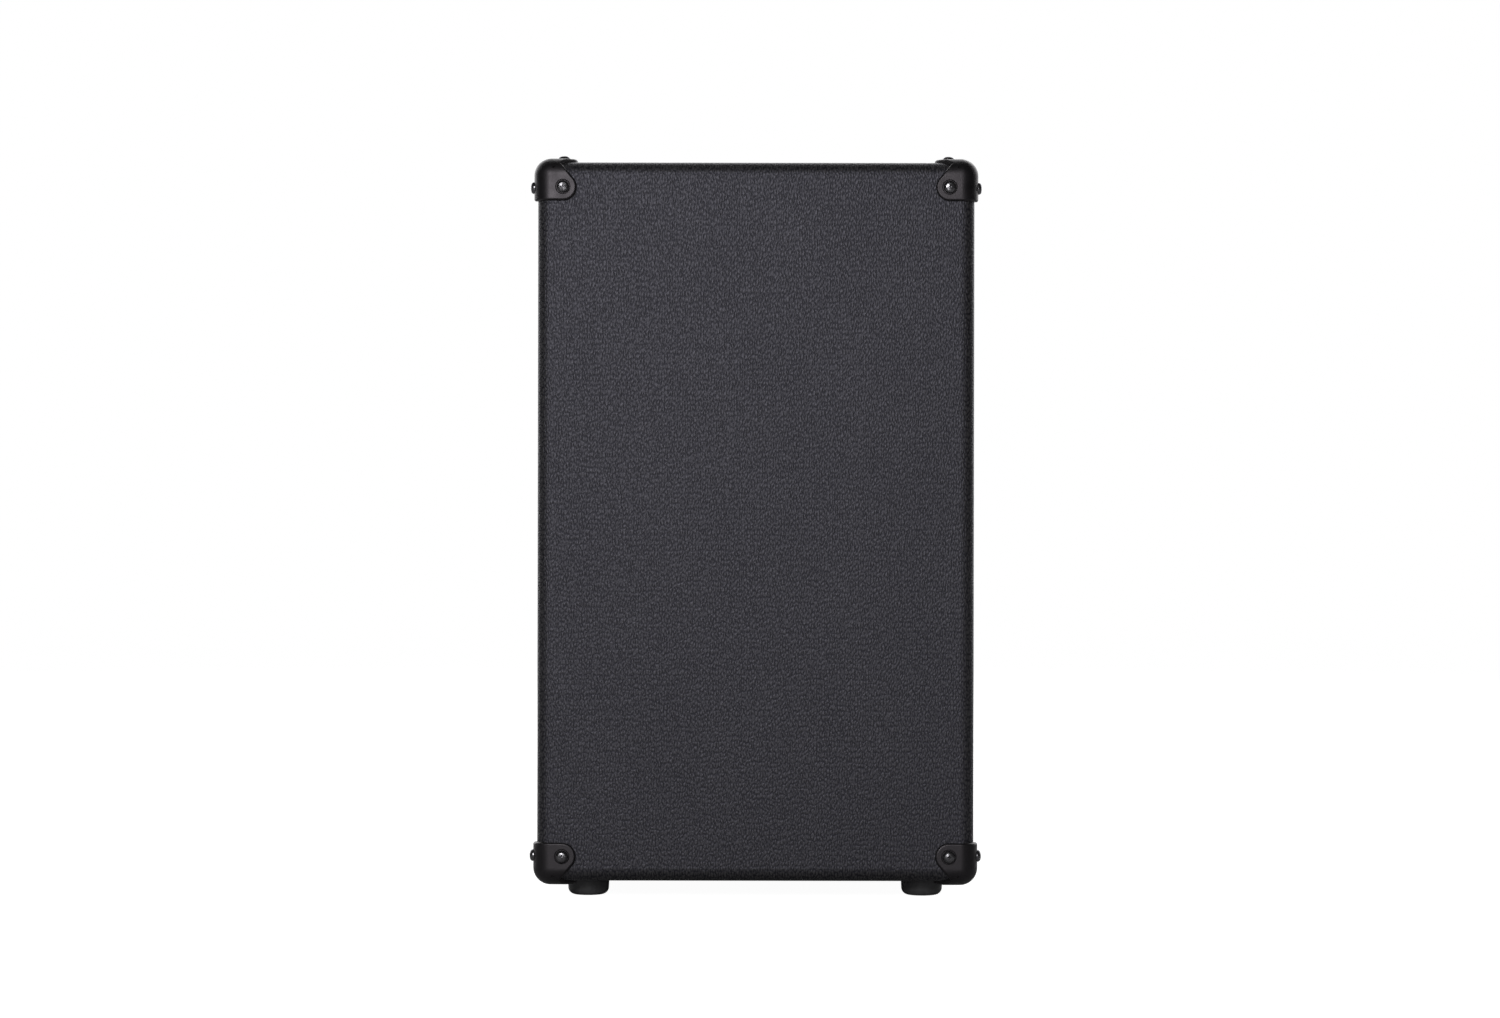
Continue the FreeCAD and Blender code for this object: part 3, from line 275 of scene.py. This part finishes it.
bent = add(tree, "VectorMath", {0: wander.outputs["Color"], 1: (bent_by,) * 3, 2: laid},
           operation="MULTIPLY_ADD")
border = add(tree, "TexVoronoi", {"Vector": bent, "Scale": per_mm(pebble), "Randomness": 0.9},
             feature="DISTANCE_TO_EDGE", voronoi_dimensions="2D")
crease = add(tree, "MapRange", {0: border.outputs["Distance"], 2: 0.35}, interpolation_type="SMOOTHSTEP")
soft = add(tree, "TexNoise", {"Vector": bent, "Scale": per_mm(wrinkle), "Detail": 0.0},
           noise_dimensions="2D")
wrinkles = add(tree, "MapRange", {0: soft.outputs["Fac"], 1: 0.25, 2: 0.75})
relief = add(tree, "Mix", {0: 0.5, 2: wrinkles.outputs[0], 3: crease.outputs[0]})
bump = add(tree, "Bump", {"Height": relief, "Distance": depth_of_grain, "Strength": 1.0})
slow = add(tree, "TexNoise", {"Vector": laid, "Scale": per_mm(pull), "Detail": 2.0},
           noise_dimensions="2D")
pulled = add(tree, "Math", {0: slow.outputs["Fac"], 1: 0.12, 2: relief}, operation="MULTIPLY_ADD")
raised = add(tree, "MapRange", {0: pulled, 1: 0.25, 2: 0.8})
gloss = add(tree, "MapRange", {0: raised, 3: 0.59, 4: 0.47})
# painted shade: the base colour runs from black in the creases to dark grey on the raised grain
tint = add(tree, "Mix", {0: raised, 6: linear("#000000"), 7: linear("#343333")}, data_type="RGBA")
join(tree, shader, Normal=bump, Base_Color=tint.outputs[2], Roughness=gloss)
dress(vinyl, "black_vinyl")

# %% [markdown]
# ## Moulded ABS
# The corner protectors, the handle's caps and the jack cup are injection-moulded ABS from a mould whose
# steel was spark-textured, so the plastic is satin with a fine speckle of highlights, and its shine leans
# a little to violet. The speckle is far too fine to model, so a bump carries it, drawn 0.9 mm wide so that
# it shows: the real one is a few tenths. The gloss changes slightly where the melt flowed and cooled, which
# a second, wider noise gives.

# %% Moulded ABS
abs_plastic, tree, shader = new_finish("moulded_abs", "#09090a", 0.44, IOR=1.5,
                                       Specular_Tint=linear("#fff6ff"))
speckle, flow_width = 0.9, 12
place = add(tree, "TexCoord").outputs["Object"]
spark = add(tree, "TexNoise", {"Vector": place, "Scale": per_mm(speckle), "Detail": 2.0})
bump = add(tree, "Bump", {"Height": spark.outputs["Fac"], "Distance": 0.00008, "Strength": 0.8})
flow = add(tree, "TexNoise", {"Vector": place, "Scale": per_mm(flow_width), "Detail": 2.0})
gloss = add(tree, "MapRange", {0: flow.outputs["Fac"], 1: 0.3, 2: 0.7, 3: 0.38, 4: 0.5})
join(tree, shader, Normal=bump, Roughness=gloss)
dress(abs_plastic, "corner_plastic")

# %% [markdown]
# ## Black-nickelled steel
# The pan-head screws are cold-headed steel, tumbled smooth and plated with black nickel: dark mirrors
# with a small bright image of each lamp. The dished washers behind them have the same plating. The dents
# of tumbling could be a bump, but they are too small to see one by one, so they only change the gloss, in
# patches drawn coarser than the dents.

# %% Black-nickelled steel
black_nickel, tree, shader = new_finish("black_nickel_steel", "#757477", 0.24, Metallic=1.0)
dent = 1.2
place = add(tree, "TexCoord").outputs["Object"]
tumble = add(tree, "TexNoise", {"Vector": place, "Scale": per_mm(dent), "Detail": 3.0})
gloss = add(tree, "MapRange", {0: tumble.outputs["Fac"], 1: 0.3, 2: 0.7, 3: 0.18, 4: 0.3})
join(tree, shader, Roughness=gloss)
dress(black_nickel, "black_screw")

# %% [markdown]
# ## Moulded rubber
# The feet are compression-moulded rubber, dull and dark with a soft grey bloom that comes in small
# patches. Painted patches would show their borders, so a noise mixes two greys and lifts the surface with
# them.

# %% Moulded rubber
rubber, tree, shader = new_finish("moulded_rubber", "#454547", 0.6, IOR=1.52)
patch = 3
place = add(tree, "TexCoord").outputs["Object"]
bloom = add(tree, "TexNoise", {"Vector": place, "Scale": per_mm(patch), "Detail": 4.0})
bump = add(tree, "Bump", {"Height": bloom.outputs["Fac"], "Distance": 0.00008, "Strength": 0.6})
tint = add(tree, "Mix", {0: bloom.outputs["Fac"], 6: linear("#3a3a3c"), 7: linear("#505052")},
           data_type="RGBA")
join(tree, shader, Normal=bump, Base_Color=tint.outputs[2])
dress(rubber, "foot_rubber")

# %% [markdown]
# ## Grained strap rubber
# The handle's strap is rubber moulded round a steel band. Its mould gave it a leather grain and a pressed
# line of stitches along each edge. They stand out by less than half a millimetre, so a bump is enough: a
# ridge at a fixed distance from the middle, broken by a wave of the stitches' own length. The same relief
# sets the colour as painted shade and highlight: darker in the grain's creases, lighter on the stitches.

# %% Grained strap rubber
strap_rubber, tree, shader = new_finish("grained_strap_rubber", "#141415", 0.48, IOR=1.52)
stitch_line, stitch_width, stitch_length, grain_width = 9.5, 0.9, 4.5, 1.6
place = add(tree, "TexCoord").outputs["Object"]
x, y, z = add(tree, "SeparateXYZ", {0: place}).outputs
off_middle = add(tree, "Math", {0: y}, operation="ABSOLUTE")
off_line = add(tree, "Math", {0: off_middle, 1: stitch_line / 1000}, operation="SUBTRACT")
off_line = add(tree, "Math", {0: off_line}, operation="ABSOLUTE")
thread = add(tree, "MapRange", {0: off_line, 1: 0.0, 2: stitch_width / 1000, 3: 1.0, 4: 0.0},
             interpolation_type="SMOOTHSTEP")
along = add(tree, "Math", {0: x, 1: 2 * math.pi * per_mm(stitch_length)}, operation="MULTIPLY")
wave = add(tree, "Math", {0: along}, operation="SINE")
on = add(tree, "MapRange", {0: wave, 1: -0.75, 2: -0.35}, interpolation_type="SMOOTHSTEP")
stitches = add(tree, "Math", {0: thread, 1: on}, operation="MULTIPLY")
grain = add(tree, "TexVoronoi", {"Vector": place, "Scale": per_mm(grain_width)},
            feature="DISTANCE_TO_EDGE")
hide = add(tree, "MapRange", {0: grain.outputs["Distance"], 2: 0.25, 4: 0.35},
           interpolation_type="SMOOTHSTEP")
relief = add(tree, "Math", {0: stitches, 1: hide}, operation="ADD")
bump = add(tree, "Bump", {"Height": relief, "Distance": 0.0004, "Strength": 1.0})
# painted shade and highlight: the colour is darker in the grain's creases and lighter on the stitches
tint = add(tree, "Mix", {0: relief, 6: linear("#0c0c0d"), 7: linear("#262628")}, data_type="RGBA")
join(tree, shader, Normal=bump, Base_Color=tint.outputs[2])
dress(strap_rubber, "strap_rubber")

# %% [markdown]
# ## Woven grille cloth
# The cloth over the grille frame is a plain weave of stout spun yarn, charcoal one way and grey the other,
# stretched flat so that sound goes through it. A yarn shows as a small hump where it passes over its
# neighbour. The yarns are about 1.2 mm apart, which is too fine for the picture, so they are drawn 2.2 mm
# apart. Modelled yarns would cross tens of thousands of times, so they are drawn in the material: a checker
# says which yarn is on top, and two sine waves give the humps. The humps are also painted into the colour
# as painted shade: each yarn darkens nearly to black towards its edges and where it dips under, and a slow
# noise of slubs darkens it further in patches.

# %% Woven grille cloth
yarn, slub_length = 2.2, 6
weave, tree, shader = new_finish("woven_grille_cloth", "#1a1a1c", 0.85, IOR=1.5, Sheen_Weight=0.25)
x, y, z = add(tree, "SeparateXYZ", {0: add(tree, "TexCoord").outputs["Object"]}).outputs
laid = add(tree, "CombineXYZ", {0: x, 1: z})
over = add(tree, "TexChecker", {"Vector": laid, "Scale": per_mm(yarn)}).outputs["Fac"]
humps = []
for direction in (x, z):
    turn = add(tree, "Math", {0: direction, 1: math.pi * per_mm(yarn)}, operation="MULTIPLY")
    wave = add(tree, "Math", {0: turn}, operation="SINE")
    humps.append(add(tree, "Math", {0: wave}, operation="ABSOLUTE"))
across = add(tree, "Mix", {0: over, 2: humps[0], 3: humps[1]})
along = add(tree, "Mix", {0: over, 2: humps[1], 3: humps[0]})
crown = add(tree, "Math", {0: along, 1: 0.5, 2: 0.5}, operation="MULTIPLY_ADD")
yarns = add(tree, "Math", {0: across, 1: crown}, operation="MULTIPLY")
slub = add(tree, "TexNoise", {"Vector": laid, "Scale": per_mm(slub_length), "Detail": 4.0},
           noise_dimensions="2D")
thick = add(tree, "MapRange", {0: slub.outputs["Fac"], 1: 0.3, 2: 0.7, 3: 0.6, 4: 1.0})
yarn_shade_and_slub = add(tree, "Math", {0: yarns, 1: thick}, operation="MULTIPLY")
dyed = add(tree, "Mix", {0: over, 6: linear("#3a3a3e"), 7: linear("#7c7b7a")}, data_type="RGBA")
# painted shade: each yarn's colour falls nearly to black at its edges and where it dips under
tint = add(tree, "Mix", {0: yarn_shade_and_slub, 6: linear("#060607"), 7: dyed.outputs[2]}, data_type="RGBA")
bump = add(tree, "Bump", {"Height": yarns, "Distance": 0.0006, "Strength": 0.8})
join(tree, shader, Normal=bump, Base_Color=tint.outputs[2])
print(weave.name, "with yarns", yarn, "mm apart")

# %% [markdown]
# ## The stretched sheet
# The sheet itself is a grid at the front face of the frame. Cloth could be simulated, but cloth that is
# pulled tight needs none of that: its edge turns back round the frame, and between the rails it lies a hair
# deeper than over them.

# %% The stretched sheet
def mesh_piece(name, points, faces, finish):
    """A smooth-shaded mesh from points in metres."""
    mesh = bpy.data.meshes.new(name)
    mesh.from_pydata(points, [], faces)
    mesh.polygons.foreach_set("use_smooth", [True] * len(mesh.polygons))
    mesh.materials.append(finish)
    made = bpy.data.objects.new(name, mesh)
    bpy.context.scene.collection.objects.link(made)
    return made


low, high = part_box("grille_cloth")
rows, columns = 60, 70
rail, falling_over, turned_back, slack = 0.03, 0.05, 0.0003, 0.00025
points, faces = [], []
for i in range(rows + 1):
    for j in range(columns + 1):
        x = low.x + (high.x - low.x) * j / columns
        z = low.z + (high.z - low.z) * i / rows
        inside = min(x - low.x, high.x - x, z - low.z, high.z - z)
        edge = turned_back if inside < 1e-6 else 0.0
        hollow = slack * min(1, max(0, (inside - rail) / falling_over))
        points.append((x, low.y + edge + hollow, z))
for i in range(rows):
    for j in range(columns):
        a = i * (columns + 1) + j
        faces.append((a, a + 1, a + columns + 2, a + columns + 1))
grille = mesh_piece("stretched_grille_cloth", points, faces, weave)
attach(grille, "cabinet")
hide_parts("grille_cloth")
print("grille cloth:", len(points), "points")

# %% [markdown]
# ## Extruded PVC piping
# A bead of black PVC hides the joint between the grille frame and the lip. It was drawn through a die, so
# it is smooth and a little glossy, and slightly wavy where it was tacked. The solid has the bead's shape,
# so a slow noise only has to bend and spread the light along it.

# %% Extruded PVC piping
piping, tree, shader = new_finish("extruded_pvc_piping", "#101011", 0.36, IOR=1.53)
tack_spacing = 35
place = add(tree, "TexCoord").outputs["Object"]
tacked = add(tree, "TexNoise", {"Vector": place, "Scale": per_mm(tack_spacing), "Detail": 3.0})
bump = add(tree, "Bump", {"Height": tacked.outputs["Fac"], "Distance": 0.0008, "Strength": 0.5})
gloss = add(tree, "MapRange", {0: tacked.outputs["Fac"], 1: 0.3, 2: 0.7, 3: 0.3, 4: 0.44})
join(tree, shader, Normal=bump, Roughness=gloss)
dress(piping, "piping_vinyl")

# %% [markdown]
# ## Nylon hook-and-loop
# The pads behind the grille frame are woven nylon with a mat of hooks and loops. These could be modelled
# as hairs, but they are far finer than a picture shows, so cells draw a coarse dark fuzz.

# %% Nylon hook-and-loop
nylon, tree, shader = new_finish("nylon_hook_and_loop", "#0d0d0e", 0.8, IOR=1.53, Sheen_Weight=0.4)
loop = 0.9
place = add(tree, "TexCoord").outputs["Object"]
loops = add(tree, "TexVoronoi", {"Vector": place, "Scale": per_mm(loop)}).outputs["Distance"]
bump = add(tree, "Bump", {"Height": loops, "Distance": 0.0006, "Strength": 1.0})
tint = add(tree, "Mix", {0: loops, 6: linear("#08080a"), 7: linear("#1e1e20")}, data_type="RGBA")
join(tree, shader, Normal=bump, Base_Color=tint.outputs[2])
dress(nylon, "hook_and_loop")

# %% [markdown]
# ## Birch plywood
# The boards are birch plywood, sanded and left raw inside, pale and dull. A peeled veneer shows long faint
# figure and short dark pores. Rings as in sawn wood would be wrong, so two noises are stretched along the
# grain: a coarse one for the figure and a fine one for the pores, which are drawn wider than real ones so
# that they show. The grain of the top and the bottom runs from side to side, and of the others upwards.

# %% Birch plywood
figure_width, pore, stretched = 14, 1.4, 0.08
lying = ("top_panel", "bottom_panel")
standing = [name for name in nodes if name not in lying]
for name, squeeze, others in (("standing", (1.0, 1.0, stretched), lying),
                              ("lying", (stretched, 1.0, 1.0), standing)):
    birch, tree, shader = new_finish(f"sanded_birch_plywood_{name}", "#c9a777", 0.62, IOR=1.5)
    place = add(tree, "TexCoord").outputs["Object"]
    along = add(tree, "Mapping", {"Vector": place, "Scale": squeeze})
    figure = add(tree, "TexNoise", {"Vector": along, "Scale": per_mm(figure_width), "Detail": 5.0,
                                    "Distortion": 0.6})
    pores = add(tree, "TexNoise", {"Vector": along, "Scale": per_mm(pore), "Detail": 2.0}).outputs["Fac"]
    mix = add(tree, "Math", {0: pores, 1: 0.35, 2: figure.outputs["Fac"]}, operation="MULTIPLY_ADD")
    tone = add(tree, "MapRange", {0: mix, 1: 0.45, 2: 0.9})
    tint = add(tree, "Mix", {0: tone, 6: linear("#d2b384"), 7: linear("#b08a58")}, data_type="RGBA")
    bump = add(tree, "Bump", {"Height": pores, "Distance": 0.00015, "Strength": 0.5})
    join(tree, shader, Base_Color=tint.outputs[2], Normal=bump)
    dress(birch, "plywood", leave_out=others)

# %% [markdown]
# ## Plated and bare metals
# Bright zinc on the bolts, washers and tee nuts has a bluish, slightly cloudy shine. Nickel on the jacks is
# smoother and warmer. The motor's plates are turned steel with a clear yellowish passivation. Brass
# terminals are paler where they were tinned for soldering, the coil is enamelled copper, dark and glossy,
# and the leads are a tinned braid with copper showing through. They differ in colour, gloss and cloudiness
# only, so one loop makes them all from the same nodes.

# %% Plated and bare metals
for name, slot, (chart, other), (sharp, dull), cloud in (
    ("bright_zinc_steel", "zinc_steel", ("#b9bcc0", "#a3a6ab"), (0.28, 0.45), 2.5),
    ("nickel_plated_brass", "jack_nickel", ("#c9c4b8", "#bdb7aa"), (0.14, 0.26), 4.0),
    ("passivated_turned_steel", "motor_steel", ("#b5ab8d", "#9c937a"), (0.3, 0.42), 6.0),
    ("tinned_brass", "tab_brass", ("#c2b277", "#b9b6a6"), (0.25, 0.4), 1.5),
    ("enamelled_copper", "coil_copper", ("#9a4a1c", "#7d3712"), (0.22, 0.34), 0.8),
    ("tinned_copper_braid", "tinsel_braid", ("#b98a68", "#8f6a50"), (0.3, 0.5), 0.7),
):
    metal, tree, shader = new_finish(name, chart, sharp, Metallic=1.0)
    place = add(tree, "TexCoord").outputs["Object"]
    clouds = add(tree, "TexNoise", {"Vector": place, "Scale": per_mm(cloud), "Detail": 4.0}).outputs["Fac"]
    gloss = add(tree, "MapRange", {0: clouds, 1: 0.3, 2: 0.7, 3: sharp, 4: dull})
    tint = add(tree, "Mix", {0: clouds, 6: linear(chart), 7: linear(other)}, data_type="RGBA")
    bump = add(tree, "Bump", {"Height": clouds, "Distance": 0.00004, "Strength": 0.5})
    join(tree, shader, Roughness=gloss, Base_Color=tint.outputs[2], Normal=bump)
    dress(metal, slot)

# %% [markdown]
# ## Loudspeaker boards, paint and ceramic
# The basket is pressed steel with a stoved black paint that dried to a fine orange peel. The magnet is
# sintered ferrite, charcoal grey with a sandy surface. The terminal board is phenolic, brown paper in
# resin. The gasket is dull grey board, the cone pressed paper pulp with fibres in it, the coil's former a
# glossy amber film, and the spider cloth dipped in yellow resin. Each could have nodes of its own, but in
# all of them one noise gives both colour and relief. The finer specks are drawn about a millimetre wide, so
# that they show.

# %% Loudspeaker boards, paint and ceramic
for name, slot, (chart, other), roughness, ior, speck, height in (
    ("stoved_black_paint", "basket_paint", ("#131314", "#1f1f21"), 0.36, 1.5, 1.8, 0.00006),
    ("sintered_ferrite", "ferrite", ("#2b2b2d", "#3b3b3d"), 0.72, 1.8, 0.9, 0.00010),
    ("phenolic_board", "phenolic", ("#5a3417", "#6b4220"), 0.5, 1.6, 1.2, 0.00004),
    ("grey_gasket_board", "gasket_board", ("#4c453c", "#62594d"), 0.9, 1.45, 1.6, 0.00012),
    ("pressed_paper_pulp", "cone_paper", ("#242322", "#3a3735"), 0.88, 1.45, 1.1, 0.00014),
    ("polyimide_film", "former_film", ("#a85f12", "#bd7420"), 0.25, 1.7, 5.0, 0.00003),
    ("resin_dipped_cloth", "spider_cloth", ("#a67c3c", "#c59a57"), 0.8, 1.5, 0.9, 0.00020),
):
    board, tree, shader = new_finish(name, chart, roughness, IOR=ior)
    place = add(tree, "TexCoord").outputs["Object"]
    grains = add(tree, "TexNoise", {"Vector": place, "Scale": per_mm(speck), "Detail": 4.0,
                                    "Roughness": 0.65}).outputs["Fac"]
    tone = add(tree, "MapRange", {0: grains, 1: 0.35, 2: 0.65})
    tint = add(tree, "Mix", {0: tone, 6: linear(chart), 7: linear(other)}, data_type="RGBA")
    bump = add(tree, "Bump", {"Height": grains, "Distance": height, "Strength": 0.8})
    join(tree, shader, Base_Color=tint.outputs[2], Normal=bump)
    dress(board, slot)

# %% [markdown]
# ## Corrugated surround and spider
# Two soft rings hold the cone: the paper surround at its rim and the resin-dipped spider at its neck. They
# bend in rolls when the cone moves, so a rigid piece would tear from the cone or from the basket. Each is
# one sheet, turned round the speaker's axis from a wavy profile.

# %% Corrugated surround and spider
low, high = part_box("speaker_surround")
axis_z = (low.z + high.z) / 2
baffle_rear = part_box("baffle_board")[1].y


def rolled(name, outer, start, rolls, roll, plane, inner, paper, finish, segments=144, steps=9):
    """A turned sheet with half-round rolls between two flat lips, in millimetres."""
    crease = 0.5
    profile = [(outer, 0.0), (start + crease, 0.0)]
    for i in range(rolls):
        side, middle = 1 - 2 * (i % 2), start - roll * (2 * i + 1)
        for k in range(steps):
            angle = math.pi * (k + 0.5) / steps
            profile.append((middle + roll * math.cos(angle), -side * roll * math.sin(angle)))
    profile += [(start - 2 * roll * rolls - crease, 0.0), (inner, 0.0)]
    ring = [(r, h - paper / 2) for r, h in profile] + [(r, h + paper / 2) for r, h in reversed(profile)]
    count = len(ring)
    points, faces, shares = [], [], []
    for s in range(segments):
        turn = 2 * math.pi * s / segments
        beside = (s + 1) % segments
        for k, (r, h) in enumerate(ring):
            y = baffle_rear + (plane + h) / 1000
            points.append((r / 1000 * math.cos(turn), y, axis_z + r / 1000 * math.sin(turn)))
            after = (k + 1) % count
            faces.append((s * count + k, s * count + after, beside * count + after, beside * count + k))
            share = min(1, max(0, (start - r) / (2 * roll * rolls)))
            shares.append(share * share * (3 - 2 * share))
    made = mesh_piece(name, points, faces, finish)
    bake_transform(made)
    return made


surround = rolled("corrugated_surround", outer=146.8, start=142.0, rolls=3, roll=2.3, plane=3.4,
                  inner=125.2, paper=0.7, finish=bpy.data.materials["pressed_paper_pulp"])
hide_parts("speaker_surround")
spider = rolled("corrugated_spider", outer=63.5, start=53.4, rolls=5, roll=2.55, plane=71.6,
                inner=22.8, paper=0.5, finish=bpy.data.materials["resin_dipped_cloth"])
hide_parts("speaker_spider")
print("surround and spider:", len(surround.data.vertices), "and", len(spider.data.vertices), "points")

# %% [markdown]
# ## Tinsel leads
# Two limp braids carry the current from the cone to the terminals and flex at every beat. A curve can't
# bend between two bodies, so each smooth curve is turned to a mesh tube.

# %% Tinsel leads
lead_radius = 0.6
for side, name in ((-1, "left"), (1, "right")):
    x = tab_x * side
    route = [(x, -69.714, 203.0), (x, -62.707, 179.0), (x, -36.2, 179.0), (x, -28.15, 194.4)]
    curve = wire(f"{name}_lead_line", route, lead_radius, bpy.data.materials["tinned_copper_braid"])
    tube = bpy.data.meshes.new_from_object(curve)
    curve.data.bevel_depth = 0
    curve.data.use_fill_caps = False
    line = bpy.data.meshes.new_from_object(curve)
    path = [tuple(v.co) for v in line.vertices]
    bpy.data.objects.remove(curve)
    tube.polygons.foreach_set("use_smooth", [True] * len(tube.polygons))
    lead = bpy.data.objects.new(f"{name}_tinsel_lead", tube)
    bpy.context.scene.collection.objects.link(lead)
    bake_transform(lead)
    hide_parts("tinsel_leads")
    length = sum((Vector(b) - Vector(a)).length for a, b in zip(path, path[1:]))
    print(lead.name, round(length, 4), "m")

# %% [markdown]
# ## Floor
# The stage is a plain white paper floor. Near the cabinet it takes the light and a faint shadow. Further
# out it fades into the white behind it, so that no horizon shows. Brighter lamps would whiten it too, but
# they would also wash out the cabinet, so the paper glows to the eye, and that glow lights nothing else.

# %% Floor
half = 6.0
fade_from, fade_to = 1.2, 3.5
glow = 0.96
paper, tree, shader = new_finish("white_floor", "#a8a8a8", 0.8)
away = add(tree, "VectorMath", {0: add(tree, "TexCoord").outputs["Object"]}, operation="LENGTH")
fade = add(tree, "MapRange", {0: away.outputs["Value"], 1: fade_from, 2: fade_to, 3: 1.0, 4: 0.0},
           interpolation_type="SMOOTHSTEP")
camera_ray = add(tree, "LightPath").outputs["Is Camera Ray"]
lift = add(tree, "Math", {0: camera_ray, 1: glow}, operation="MULTIPLY")
shader.inputs["Emission Color"].default_value = linear("#ffffff")
join(tree, shader, Alpha=fade, Emission_Strength=lift)
corners = [(-half, -half, 0), (half, -half, 0), (half, half, 0), (-half, half, 0)]
floor = mesh_piece("floor", corners, [(0, 1, 2, 3)], paper)
print("floor:", 2 * half, "m")

# %% [markdown]
# ## Light
# The key soft box hangs to the left of the camera and above it, so the side is brightest at its upper left
# and its rounded edges fall into shade. A small lamp near the lens puts a little light on what faces the
# camera squarely, such as the flats of the corners. Fills near the camera would grey the dark edges, so
# three large ones stand on the far side. They light the front, the back and the top, and on the side that
# the camera sees they draw only a thin light line along the outermost edges.

# %% Light
def soft_box(name, at, towards, size, watts):
    """A round lamp that the camera doesn't see, turned to what it lights."""
    lamp = bpy.data.objects.new(name, bpy.data.lights.new(name, "AREA"))
    lamp.data.shape = "DISK"
    lamp.data.size = size
    lamp.data.energy = watts
    lamp.visible_camera = False
    lamp.location = at
    lamp.rotation_mode = "QUATERNION"
    lamp.rotation_quaternion = (Vector(towards) - Vector(at)).to_track_quat("-Z", "Y")
    bpy.context.scene.collection.objects.link(lamp)


soft_box("key", at=(2.7, -0.5, 1.0), towards=(0.29, 0, 0.3), size=0.8, watts=32.2)
soft_box("ring", at=(2.75, 0, 0.32), towards=(0.29, 0, 0.28), size=0.4, watts=4)
soft_box("front_fill", at=(-2.9, -2.1, 1.6), towards=(0, -0.15, 0.26), size=4.0, watts=90)
soft_box("rear_fill", at=(-2.9, 2.1, 1.6), towards=(0, 0.15, 0.26), size=4.0, watts=88)
soft_box("top_fill", at=(-1.9, 0, 2.2), towards=(0, 0, 0.5), size=2.4, watts=24)
print("light:", len(bpy.data.lights), "soft boxes")

# %% [markdown]
# ## White room
# The world is white to the eye, as the paper of a product picture. A room that was as bright as it looks
# would wash out black vinyl, so it gives much less light than it shows, and a little more from the far
# side.

# %% White room
around, far_side = 0.06, 0.18
world = bpy.data.worlds.new("white_room")
bpy.context.scene.world = world
world.use_nodes = True
tree = world.node_tree
seen = add(tree, "Background", {"Color": linear("#ffffff"), "Strength": 1.0})
direction = add(tree, "SeparateXYZ", {0: add(tree, "TexCoord").outputs["Generated"]})
behind = add(tree, "MapRange", {0: direction.outputs["X"], 1: -0.3, 2: -0.9, 3: around, 4: far_side},
             interpolation_type="SMOOTHSTEP")
lit = add(tree, "Background", {"Color": linear("#ffffff"), "Strength": behind})
camera_ray = add(tree, "LightPath").outputs["Is Camera Ray"]
both = add(tree, "MixShader", {0: camera_ray, 1: lit, 2: seen})
tree.links.new(both.outputs[0], tree.nodes["World Output"].inputs["Surface"])
print("white room: strength", around, "to", far_side)
